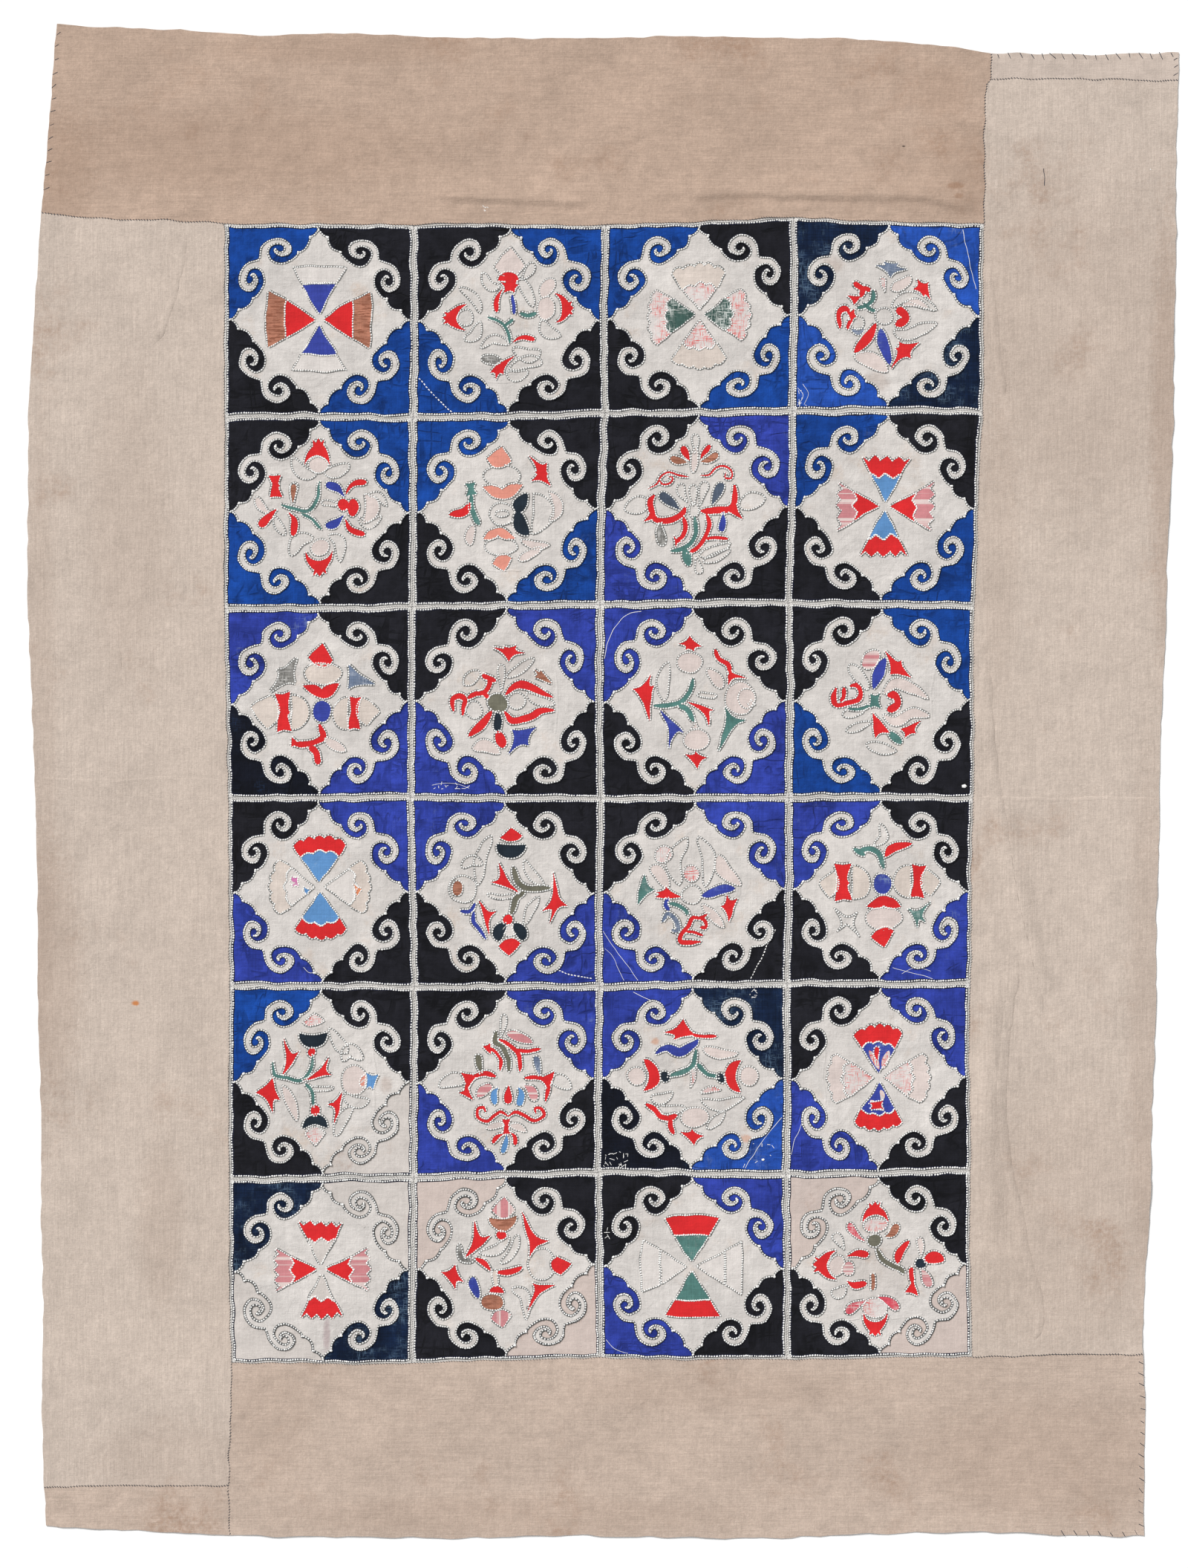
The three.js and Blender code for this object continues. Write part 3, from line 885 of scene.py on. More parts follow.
def curve(points, steps=6):
    """A smooth line through points."""
    p = [np.array(q, float) for q in points]
    if len(p) < 3:
        return np.array([p[0] + (p[-1] - p[0]) * t for t in np.linspace(0, 1, steps + 1)])
    ends = [2 * p[0] - p[1]] + p + [2 * p[-1] - p[-2]]
    out = []
    for k in range(1, len(ends) - 2):
        a, b, c, d = ends[k - 1:k + 3]
        for t in np.linspace(0, 1, steps, endpoint=False):
            out.append(0.5 * (2 * b + (c - a) * t + (2 * a - 5 * b + 4 * c - d) * t * t
                              + (3 * b - a - 3 * c + d) * t ** 3))
    out.append(p[-1])
    return np.array(out)


def pairs(numbers):
    """Points from numbers in a row."""
    return [numbers[k:k + 2] for k in range(0, len(numbers), 2)]


def swathe(line, widths):
    """The outline of a line that reaches its widths to both sides."""
    way = np.gradient(line, axis=0)
    way /= np.maximum(1e-9, np.hypot(way[:, 0], way[:, 1]))[:, None]
    side = aside(way) * widths[:, None]
    return np.concatenate([line + side, (line - side)[::-1]])


def stroke(width, *numbers):
    line = curve(pairs(numbers))
    t = np.linspace(0, 1, len(line))
    return swathe(line, width / 2 * np.minimum(1, 0.35 + 5 * np.minimum(t, 1 - t)))


def leaf(width, *numbers):
    line = curve(pairs(numbers), 8)
    t = np.linspace(0, 1, len(line))
    return swathe(line, width / 2 * (0.05 + np.sin(math.pi * np.clip(t, 0, 1)) ** 0.6))


def drop(width, *numbers):
    """From the pointed end to the round one."""
    line = curve(pairs(numbers), 10)
    t = np.linspace(0, 1, len(line))
    return swathe(line, width / 2 * (0.1 + np.sqrt(np.clip(1 - t, 0, 1)) * t ** 1.3 / 0.42))


def disc(x, y, rx, ry=None):
    """An oval, or a circle where one radius is given."""
    t = np.linspace(0, math.tau, 22, endpoint=False)
    return np.stack([x + rx * np.cos(t), y + (ry or rx) * np.sin(t)], axis=1)


def shaped(x, y, w, h, angle, *stretches):
    """An outline from stretches of (steps, points in parts of w and h), smooth ones where steps isn't 0."""
    out = []
    for steps, points in stretches:
        points = np.array(points) * (w, h)
        points = (curve(points, steps) if steps else points).tolist()
        out += points[1:] if out and math.dist(out[-1], points[0]) < TOUCH else points
    return turned(out[:-1] if math.dist(out[-1], out[0]) < TOUCH else out, (x, y), angle)


def mirrored(points):
    return [(-a, b) for a, b in points[::-1]]


def crown(x, y, w, h, angle):
    """A tulip with three teeth; angle is where they point."""
    side = [(0.53, -0.42), (0.47, -0.08), (0.33, 0.16), (0.2, 0.3)]
    teeth = [(0.24, 0.5), (0.11, 0.4), (0, 0.56), (-0.11, 0.4), (-0.24, 0.5)]
    brim = [(-0.53, -0.42), (-0.34, -0.16), (0, -0.04), (0.34, -0.16), (0.53, -0.42)]
    return shaped(x, y, w, h, angle - 90, (4, side), (0, teeth), (4, mirrored(side)), (3, brim))


def lips(x, y, w, h, angle=0):
    """A broad bud, dented above and round below."""
    upper = [(0.5, 0.36), (0.25, 0.42), (0.1, 0.3), (0, 0.12)]
    under = [(-0.5, 0.36), (-0.28, -0.25), (0, -0.5), (0.28, -0.25), (0.5, 0.36)]
    return shaped(x, y, w, h, angle, (4, upper), (4, mirrored(upper)), (4, under))


def cap(x, y, w, h, angle=90):
    """A pointed cap with a rounded base; angle is where it points."""
    right = [(0.5, -0.12), (0.3, 0.2), (0.04, 0.55)]
    left = [(0.04, 0.55), (-0.26, 0.22), (-0.5, -0.12)]
    base = [(-0.5, -0.12), (-0.25, -0.4), (0, -0.46), (0.25, -0.4), (0.5, -0.12)]
    return shaped(x, y, w, h, angle - 90, (5, right), (5, left), (4, base))


def star(x, y, *numbers, hollow=0.26, most=4.5, power=3):
    """Arms that reach from the centre to each tip, with hollow sides between them."""
    centre = np.array([x, y], float)
    tips = sorted(pairs(numbers), key=lambda p: math.atan2(p[1] - y, p[0] - x))
    t = np.linspace(0, 1, 9, endpoint=False)[:, None]
    out = []
    for k, tip in enumerate(tips):
        a, b = np.array(tip, float), np.array(tips[(k + 1) % len(tips)], float)
        gap = (math.atan2(b[1] - y, b[0] - x) - math.atan2(a[1] - y, a[0] - x)) % math.tau
        reach = min(np.hypot(*(a - centre)), np.hypot(*(b - centre)))
        middle = math.atan2(a[1] - y, a[0] - x) + gap / 2
        control = centre + np.array([math.cos(middle), math.sin(middle)]) * min(most, hollow * reach)
        near, far = (1 - t) ** power, t ** power
        out.append(near * a + far * b + (1 - near - far) * control)
    return np.concatenate(out)


def burr(x, y, *numbers):
    """A star with a thick body."""
    return star(x, y, *numbers, hollow=0.42, most=6, power=2.4)


def spool(x, y, w, h, angle=90):
    """A band with hollow sides; h is its length, lying along angle."""
    end = [(0.5, 0.5), (0, 0.46), (-0.5, 0.5)]
    left = [(-0.5, 0.5), (-0.3, 0.1), (-0.34, -0.1), (-0.5, -0.5)]
    foot = [(0, -0.46), (0.5, -0.5)]
    right = [(0.5, -0.5), (0.26, -0.12), (0.36, 0), (0.26, 0.12), (0.5, 0.5)]
    return shaped(x, y, w, h, angle - 90, (0, end), (5, left), (0, foot), (4, right))


def half(x, y, r, angle, hollow=0.0):
    """Half a disc whose round side faces angle, its straight side bent in or out."""
    t = np.linspace(-math.pi / 2, math.pi / 2, 13)
    arc = np.stack([np.cos(t), np.sin(t)], axis=1)
    return shaped(x, y, r, r, angle, (0, arc), (5, [(0, 1), (hollow, 0), (0, -1)]))


SHAPES = {
    "stroke": stroke, "leaf": leaf, "drop": drop, "disc": disc, "crown": crown, "lips": lips,
    "cap": cap, "star": star, "burr": burr, "spool": spool, "half": half,
}


# Each kind of edge: teeth on the inner and the outer edge, their depth, and how far the edge bulges
EDGE_TEETH = {"straight": (1, 1, 0, 0.03), "scallop": (3, 5, 3, 0.16), "zigzag": (2, 4, 5.5, 0.04)}


def wedge_edge(kind, r, slope, far):
    """An edge across a wedge at distance r, from its right side to its left."""
    few, many, depth, bulge = EDGE_TEETH[kind]
    teeth = many if far else few
    points = []
    for t in np.arange(8 * teeth + 1) / (8 * teeth):
        wave = abs(math.sin(math.pi * t * teeth)) if kind == "scallop" else abs(2 * ((t * teeth) % 1) - 1)
        points.append((r + depth * wave + bulge * r * math.sin(math.pi * t), slope * r * (2 * t - 1)))
    return points


# How far from the cross's middle a wedge starts, and the gap between its inner and outer cloth
WEDGE_START, WEDGE_GAP = 5.5, 1.2


def wedges(kind, x, y, slope, middle, end, cloths):
    """The four wedges of a cross: outlines with their cloth, outer and inner, upright and level."""
    out = []
    for angle, (outer, inner) in zip((90, 0, 270, 180), cloths * 2):
        near = wedge_edge(kind, middle, slope, False)
        far = wedge_edge(kind, end, slope, True)
        out.append((inner, turned([(WEDGE_START, 0)] + near, (x, y), angle)))
        gap = [(px + WEDGE_GAP, py * (1 + WEDGE_GAP / px)) for px, py in near]
        out.append((outer, turned(far + gap[::-1], (x, y), angle)))
    return out


# Crosses: kind of edge, centre, slope of the sides, inner and outer reach, and the outer and inner cloth of
# the upright wedges and of the level ones
CROSSES = {
    "r1c1": ("straight", 0, 1, 0.54, 35, 53, (("ivory", "indigo"), ("brown", "red"))),
    "r1c3": ("scallop", 0, 1, 0.62, 28, 45, (("beige", "worn"), ("worn", "green"))),
    "r2c4": ("zigzag", 0, 1, 0.56, 28, 45, (("red", "sky"), ("rose", "red"))),
    "r4c1": ("scallop", 0, 5, 0.62, 32, 45, (("red", "sky"), ("beige", "ivory"))),
    "r5c4": ("scallop", 0, 0, 0.57, 31, 46, (("red", "indigo"), ("pale", "worn"))),
    "r6c1": ("zigzag", 0, 1, 0.5, 28, 46, (("red", "faded"), ("rose", "red"))),
    "r6c3": ("straight", -1, -1, 0.54, 34, 53, (("red", "teal"), ("ivory", "ivory"))),
}

# What is sewn on each field, or over its cross: shape, cloth and the shape's numbers, in hundredths of a
# half block. "none" is an outline of cord alone
MOTIFS = {
    "r1c2": """
        cap pale 0 60 31 30 92; leaf none 9 -9 34 -20 36 -28 50; drop none 9 11 42 17 48 24 60
        leaf none 10 24 15 18 30 8 46; half red -1 41 10 90; burr red 2 35 -9 40 -5 43 9 43 10 37 5 28 -5 28
        drop red 5.5 -6 32 -12 22 -12 9; stroke indigo 3 3 26 5 14 6 6
        stroke teal 3 -22 4 -12 1 -4 -6 0 -14 2 -25; stroke teal 3 5 1 0 -3 -4 -6
        stroke teal 4 11 7 19 5 27 8; leaf none 9 -30 9 -38 24 -52 34; leaf none 10 -30 0 -36 -15 -48 -22
        disc none -46 3 8 9; crown red -56 3 27 25 180; disc pale 38 12 10 12
        leaf pale 15 34 24 40 34 47 42; leaf none 12 32 0 40 -12 54 -17; crown red 57 12 28 20 2
        drop red 6.5 5 -24 16 -18 27 -20; leaf none 9 -30 -29 -16 -20 2 -26
        leaf grey 9 -29 -40 -16 -42 -8 -43; burr red -9 -50 6 -38 -20 -55 -14 -62 -5 -57
        leaf none 13 5 -30 20 -38 33 -33; leaf none 12 2 -52 20 -44 35 -45
        leaf none 10 -2 -56 10 -60 20 -54
    """,
    "r1c4": """
        disc none -5 0 9; stroke red 5.5 -52 -14 -53 1 -47 6.5 -40 5
        burr red -38 1 -45 5 -35 7 -33 -2 -39 -8; stroke red 4 -40 -5 -42 -9 -43 -15; disc none -32 -7 7
        leaf slate 5 -38 -15 -31 -17 -25 -13; stroke teal 4 -32 8 -22 12 -17 18 -17 27
        stroke teal 4 -26 14 -20 8 -14 5; stroke red 5 -37 34 -32 31 -28 28 -29 20
        burr red -34 17 -43 20 -29 21 -36 11; stroke red 4 -27 29 -24 29 -20 27
        drop worn 7 -4 24 -6 32 -6 39; burr slate 2 50 -14 53 -6 56 10 55 20 50 2 39
        leaf pale 11 2 26 12 32 24 42; burr red 35 29 24 28 30 39 41 36 44 18 37 20
        leaf none 10 3 10 18 20 36 15 50 7; leaf pale 7 16 12 30 14 42 9
        leaf none 12 5 -16 20 -20 36 -11 50 -6; stroke red 8.5 9 8 14 5 18 0 14 -6 7 -10
        leaf red 9 -13 -8 -22 -24 -36 -39; leaf indigo 11 -8 -13 -5 -30 2 -51
        burr red 16 -36 7 -34 11 -27 33 -27 24 -45 3 -55; leaf pale 14 -36 -43 -18 -46 0 -57
    """,
    "r2c1": """
        disc pale 0 50 11 9; leaf none 13 -4 40 -18 42 -28 58; leaf none 13 6 40 20 44 32 53
        crown red -1 62 27 28 90; spool red -46 27 13 22 95; drop none 9 -28 9 -27 20 -26 31
        drop brown 6 -28 12 -27 20 -27 29; leaf pale 8 -66 17 -62 8 -53 -1
        stroke teal 3 0 32 -1 16 -8 6 -16 2 -27 5 -40 8; stroke teal 3 -20 0 -10 -5 -3 -12 2 -18
        stroke none 5 2 9 12 9 20 8; disc red 27 8 6 6.5; disc red 37.5 5 5.5 9.5; spool red 32 6 10 8 0
        drop indigo 9 29 17 22 26 8 29; drop red 7 31 20 38 30 50 32; drop indigo 9 28 -3 20 -11 8 -15
        drop red 7 30 -7 36 -18 49 -23; half pale 48 4 15 0 0.1; leaf none 7 52 18 62 17 70 6
        leaf none 7 44 -6 54 -14 66 -4; drop red 10 -45 3 -53 -6 -62 -16; drop red 7 -32 1 -26 -10 -27 -25
        leaf none 8 -46 -4 -42 -14 -35 -24; disc pale 0 -37 10 8; leaf none 13 -8 -26 -22 -30 -28 -46
        leaf none 13 10 -26 22 -32 24 -52; crown red 0 -52 27 26 -90
    """,
    "r2c2": """
        disc none -6 37 19 11; cap peach -9 56 26 22 85; lips peach -5 20 42 18 4
        spool teal -39 23 11 13 96; stroke teal 5 -39 17 -38 5 -34 -6 -30 -14; leaf red 8 -40 9 -46 0 -62 -3
        leaf pale 10 -36 -14 -40 -24 -40 -35; disc none -5 -4 14 11; disc none -5 -4 7 3
        leaf ink 12 20 18 14 7 12 -4; leaf ink 12 12 -2 14 -14 24 -25; half none 27 -4 21 0 0.0
        half pale 43 3 16 0 0.3; lips peach -8 -24 36 13 180; disc none -6 -37 18 9
        cap peach -4 -55 23 18 -72; leaf pale 8 16 -30 30 -36 44 -36; leaf pale 9 14 -52 24 -46 36 -38
        burr red 36 38 22 57 41 49 42 38 45 25 23 31 27 40
    """,
    "r2c3": """
        leaf pale 7 -4 36 -3 50 -3 62; drop none 9 -3 56 -3 66 -3 76; drop red 7 -8 50 -12 56 -17 64
        drop red 6 3 50 7 57 13 65; drop brown 8 -10 48 -18 50 -28 54; drop brown 8 4 48 13 50 22 56
        stroke red 1.6 -9 32 -20 35 -30 38 -38 34 -42 26 -50 20
        stroke red 1.6 -40 30 -36 26 -29 27 -26 32 -31 34
        stroke red 1.8 3 34 12 35 20 41 30 42 37 38 37 31 30 31 31 36; drop none 9 -10 8 -16 16 -18 26
        drop none 9 -3 4 -4 14 -4 24; drop none 10 3 4 6 16 8 27; drop steel 11 -18 -1 -28 7 -38 15
        drop steel 10 16 3 21 13 27 25; disc none -3 -2 5 8
        stroke red 6 -12 1 -16 -7 -30 -13 -42 -12 -47 -4 -49 6 -44 13; burr red -46 -8 -55 -14 -40 -10 -49 0
        stroke red 6.5 4 -2 14 -3 26 -2 36 0 41 8 41 24; burr red 39 -1 30 -1 50 -11 42 8
        leaf none 16 -76 0 -62 4 -50 8; leaf none 16 46 2 58 6 72 8
        stroke red 4.2 -13 -9 -11 -20 -14 -30 -21 -34; star red -21 -36 -24 -30 -21 -41 -14 -35
        stroke red 4.2 10 -6 13 -18 9 -32 2 -42 -8 -47; stroke red 3 8 -33 20 -32 34 -33
        drop indigo 8 28 -4 28 -14 26 -26; drop grey 9 -37 -15 -38 -26 -35 -39
        stroke teal 4 -2 -9 0 -24 -4 -36 -14 -43 -26 -45; leaf teal 9 -12 -43 -9 -50 -7 -60
        leaf none 9 4 -50 18 -46 36 -38; leaf none 8 8 -56 22 -52 36 -44; drop none 8 1 -52 3 -60 5 -68
    """,
    "r3c1": """
        cap red 3 49 26 23 86; disc beige 5 31 20 10.5; lips red 4 13 40 17 3; disc indigo 3 -9 10
        cap beige -57 -8 34 30 172; spool red -38 -9 16 40 92; half beige -29 -10 17 0 0.0
        cap beige 53 -10 30 22 8; spool red 40 -11 13 34 88; half beige 32 -11 16 180 0.0
        stroke red 6 0 -22 3 -35 -4 -41 -14 -43 -30 -42; burr red -27 -41 -30 -46 -29 -35 -20 -42
        stroke red 6.5 -10 -46 -3 -55 -2 -67; burr grey -36 30 -52 12 -45 37 -22 47 -25 20
        burr slate 41 25 33 39 33 14 60 19; leaf pale 11 4 -37 16 -44 30 -50
    """,
    "r3c2": """
        burr red 3 52 -15 57 3 43 20 50 11 58 -4 57; leaf none 9 0 26 14 34 30 44
        drop none 8 -4 12 -5 28 -4 40; leaf none 12 -44 16 -38 24 -28 32
        burr brown 37 27 29 34 37 34 48 19 29 26; stroke red 5 -18 26 -18 18 -22 10 -32 7 -40 3
        stroke red 5 -26 28 -18 25 -11 22; stroke red 4.5 -28 10 -22 8 -18 4
        stroke red 5 -56 -9 -57 3 -50 6 -43 2 -45 -5 -47 -14; disc none -34 -9 9; disc none 12 1 9
        leaf none 9 22 8 34 2 50 -2; leaf red 7.5 0 8 12 17 26 15 49 5
        leaf red 7.5 -2 -10 8 -20 26 -16 36 -9 50 -8; disc olive -8 -1 10
        leaf red 8.5 -15 -10 -26 -25 -40 -37; leaf ink 8 -9 -10 -8 -22 -7 -33
        leaf red 11 -7 -31 -5 -40 -3 -48; burr indigo 17 -37 8 -29 33 -27 24 -46 3 -54
        leaf pale 12 -36 -48 -22 -46 -6 -54
    """,
    "r3c3": """
        disc pale -5 39 14 10; burr red -4 57 -17 57 -5 68 8 56 0 50 -11 51
        stroke red 4.5 22 53 26 43 36 37 38 28; star red 38 25 38 36 57 22 36 16
        leaf pale 12 14 32 24 22 30 14; disc pale 49 2 16 17; disc none 56 2 9 10
        burr worn 61 -4 61 1 66 -5 61 -10 57 -4; burr red -52 8 -66 11 -45 28 -42 17 -47 -20
        stroke teal 4.5 -2 23 -6 10 -14 -1 -26 -5 -43 -6; stroke teal 5 -16 -5 -8 -10 -2 -22
        leaf none 12 -32 0 -33 20 -28 40; stroke none 5 2 6 14 5 24 6
        star indigo -22 -26 -36 -10 -12 -32 -27 -48; star red 12 -10 -9 -1 20 -10 15 -27
        star teal 38 -23 32 -6 55 -21 24 -52; disc pale 2 -40 14 10; star pale 0 -27 0 -20 5 -30 -5 -30
        burr red 1 -58 -11 -54 0 -51 12 -58 3 -70
    """,
    "r3c4": """
        leaf rose 15 -20 34 -12 42 -4 52; leaf indigo 11 -9 13 -2 30 5 44
        burr red 18 34 4 52 22 42 32 23 9 26; leaf none 12 -36 36 -26 26 -14 12
        stroke red 5 -49 14 -51 4 -48 -4 -38 -2 -27 1 -23 8 -27 15 -35 15; stroke red 4 -41 14 -41 6 -44 0
        stroke teal 3 -37 -8 -24 -8 -12 -4; burr teal -7 1 -12 8 -1 8 0 -7 -13 -7
        leaf pale 11 2 8 16 18 32 12 50 2; leaf pale 11 2 -14 16 -20 32 -12 52 -14
        stroke red 7 7 7 15 6 18 -1 13 -6 8 -9; burr red -4 -27 -9 -11 10 -33 -7 -40
        leaf teal 8 8 -32 15 -37 23 -44; burr red 31 -30 21 -28 42 -20 38 -34 26 -38
        leaf none 10 -42 -15 -32 -12 -20 -10; leaf none 8 -38 -32 -26 -28 -12 -22
        leaf none 10 -16 -46 0 -50 16 -52
    """,
    "r4c1": """
        burr magenta -29 10 -35 8 -31 16 -25 15 -24 5 -30 4; burr sky -16 1 -20 -1 -17 5 -11 2 -15 -3
        burr rust 41 1 36 8 46 3 40 -5 37 -1
    """,
    "r4c2": """
        half ink 5 50 15 -90 0.1; cap red 5 60 24 15 98; disc none -46 3 15 15; disc brown -52 3 5 8
        star red -3 11 -7 31 15 -1 -16 11; stroke olive 5 7 26 12 12 24 5 46 5
        stroke olive 5 20 2 10 -8 6 -24; star red 53 -10 50 22 65 -15 46 -33 37 -21
        leaf none 12 -30 8 -26 36 -16 58; leaf none 10 -46 26 -36 34 -24 30; leaf none 9 18 34 26 20 40 6
        stroke none 5 -18 -2 -4 -6 8 -4; stroke indigo 3 -50 -20 -40 -20 -33 -12
        stroke indigo 4 -36 -20 -36 -30 -29 -38 -22 -49; star red -20 -24 -29 -9 -10 -20 -18 -44
        leaf none 9 34 -4 26 -18 20 -34; disc red 3 -29 5; disc ivory 5 -40 7 6
        leaf ink 12 -9 -50 -7 -41 1 -33; leaf ink 11 10 -33 16 -41 19 -51; cap red 4 -57 24 18 -85
    """,
    "r4c3": """
        disc none -3 -3 10 10; leaf none 14 -16 8 -22 34 -8 58; leaf none 14 4 58 16 34 10 6
        disc worn -4 19 8 9; disc worn -33 40 9 9; leaf pale 13 -46 28 -36 20 -28 4
        leaf pale 14 26 38 32 22 50 6; burr teal -55 3 -53 20 -60 -14 -43 4
        burr red -28 -1 -42 1 -42 -5 -13 -6 -31 6; stroke teal 4 -26 -12 -16 -15 -9 -21 -8 -26
        stroke indigo 4 -27 -6 -29 -14 -26 -20; stroke slate 4 -33 -33 -28 -24 -20 -30 -16 -42 -22 -42
        leaf indigo 9 7 -3 28 1 44 2; burr red 37 -16 36 -4 47 -8 37 -33 28 -15
        leaf pale 10 8 -12 18 -24 32 -40
        stroke red 4 14 -23 6 -28 -3 -29 -6 -38 -12 -46 -13 -54 -4 -56 6 -55
        stroke red 4 4 -27 11 -32 12 -38 6 -39; stroke red 3 -8 -44 0 -45 9 -48
    """,
    "r4c4": """
        disc indigo 3 7 10.5; cap beige -54 6 28 20 172; spool red -40 8 17 40 92; half beige -30 8 18 0 0.0
        cap beige 54 10 28 20 8; spool red 41 10 14 36 88; half beige 33 9 17 180 0.0
        stroke teal 5 -26 44 -14 45 -4 41 1 34 4 24; leaf teal 6 -30 45 -24 42 -18 38
        leaf red 9 5 36 16 47 34 52; leaf none 9 -8 48 4 58 0 72; lips red 5 -13 40 15 180
        disc pale 5 -30 21 12; cap red 4 -49 26 21 -76; star teal 41 -26 32 -20 55 -13 50 -34 42 -40
        star none -35 -35 -48 -20 -24 -24 -36 -38 -22 -50 -46 -44
    """,
    "r5c1": """
        cap worn -8 64 24 14 95; half ink -8 50 15 -90 0.2; disc red -10 31 4
        star red -33 25 -41 45 -24 33 -43 7; star red 4 10 -22 2 9 26 12 8
        stroke teal 3.4 -53 21 -51 8 -38 5 -24 2 -14 10 -9 18 -9 28; stroke teal 3.4 -18 -1 -11 -9 -9 -25
        burr red -57 -10 -53 4 -72 -11 -53 -31 -45 -19; leaf pale 10 -42 -4 -34 -20 -27 -40
        stroke none 5 -14 -6 0 -7 14 -5; star red 18 -24 24 -10 7 -24 14 -44; half ink -7 -47 14 90 0.3
        disc red -7 -29 5; cap worn -7 -55 23 20 -90; disc pale 36 3 14 15
        burr sky 54 2 48 11 62 8 57 -8 49 -6; half peach 47 2 6 180 0.1; leaf none 11 10 56 18 40 28 30
        leaf none 12 24 22 30 32 46 24; leaf none 12 26 -12 36 -20 52 -18; leaf none 11 16 -56 22 -40 34 -26
    """,
    "r5c2": """
        drop none 7 -6 46 -4 58 -3 70; stroke olive 5 -11 52 -12 42 -4 36 2 24 3 10
        stroke red 4 -8 44 4 38 12 30 15 18 15 10; stroke red 3.5 10 34 22 31 36 33
        stroke red 3.6 -20 36 -12 31 -6 22 -6 10; burr red -19 35 -26 38 -17 41 -17 28
        leaf rose 9 0 51 12 48 28 40; drop olive 7 -27 8 -29 18 -30 28; drop slate 7 36 5 34 15 31 25
        stroke red 4.6 -11 4 -22 8 -34 5 -40 -2 -44 -10; burr red -40 3 -49 9 -30 7 -41 -8
        burr red -43 -12 -50 -12 -36 -20 -41 -4; stroke red 4.6 20 2 32 3 42 0 45 -8 43 -22
        burr red 43 1 53 9 34 2 45 -12; leaf none 14 -72 -6 -56 2 -46 -2; leaf none 14 48 0 58 -2 70 -8
        drop sky 7.5 -8 -7 -12 -14 -11 -26; drop sky 7.5 13 -7 16 -14 15 -27; drop red 9 3 -5 3 -14 3 -25
        leaf rose 10 -14 -5 -22 -9 -31 -17; drop rose 10 20 -5 26 -10 32 -20
        stroke red 3.2 4 -39 -4 -34 -12 -38 -21 -43 -31 -38 -31 -30 -25 -28 -22 -33
        stroke red 3.2 4 -39 12 -35 20 -38 30 -44 40 -38 38 -30 32 -29 32 -35; spool red 2 -50 8 16 90
        drop red 5 -2 -58 -8 -60 -15 -65; drop red 5 6 -56 11 -61 12 -69; drop sky 7 2 -59 1 -66 -3 -76
        leaf pale 7 0 -48 -10 -48 -21 -50; leaf pale 7 6 -48 14 -50 23 -55
    """,
    "r5c3": """
        burr red -11 51 -10 66 -31 49 -21 41 4 48; stroke red 4 -8 53 2 48 12 46 26 46
        leaf indigo 8 -41 26 -28 33 -14 28 0 36 6 42; stroke teal 4.2 3 30 0 16 -9 8 -27 3
        stroke teal 4.2 4 17 10 9 16 4 28 2; disc pale -60 4 9 10; half red -53 4 17 0 0.34
        disc pale 60 3 9 10; half red 52 3 17 180 0.34; disc ink -30 3 5; disc ink 30 1 4.8
        drop worn 6 -2 -8 0 2 0 12; leaf worn 5 8 -14 18 -12 30 -12; leaf none 10 -44 -20 -32 -22 -20 -14
        leaf none 9 -38 -30 -24 -34 -8 -30; leaf pale 11 10 32 26 26 48 28; leaf none 11 8 -22 28 -28 56 -20
        leaf none 9 14 -52 24 -44 34 -34; stroke red 5.4 -50 -26 -40 -33 -34 -40 -24 -41 -16 -38
        stroke red 5 -23 -42 -22 -50 -18 -59; disc pale 2 -40 14 10
        burr red 0 -59 -11 -56 0 -52 11 -59 2 -70
    """,
    "r5c4": """
        leaf worn 6 -11 29 -5 20 1 9; leaf worn 7 11 29 7 19 5 10; drop red 6 -2 19 -3 25 -2 33
        leaf worn 6 -9 -21 -2 -28 6 -34; burr red -2 -27 -10 -24 -9 -32 5 -23 6 -33
        leaf worn 5 1 -13 4 -18 3 -23
    """,
    "r6c2": """
        cap striped -3 65 25 21 88; half brown -4 55 15 -90 0.1; disc red -5 35 5.5 5
        star red -29 26 -34 51 -16 34 -43 11; star red 30 27 17 60 47 27 25 9
        stroke grey 4.5 -48 26 -47 14 -42 10 -33 9; burr red -57 -5 -53 7 -70 -2 -53 -23 -44 -14
        leaf red 5 -32 11 -24 6 -16 -2; leaf red 6 -10 -4 4 -4 18 0; leaf indigo 9 -35 -8 -34 -18 -29 -33
        cap red 59 1 19 22 10; disc none 38 2 14 17; star red 34 -23 27 -17 52 -20 23 -47
        leaf none 9 -6 6 6 16 14 34; leaf none 9 -28 16 -10 20 4 32; leaf none 9 6 -22 20 -30 22 -56
        stroke beige 4 -12 -2 -11 -10 -11 -18; half red -10 -26 7.5 90 0; disc brown -14 -37 12 8.5
        cap striped -5 -54 22 17 -78
    """,
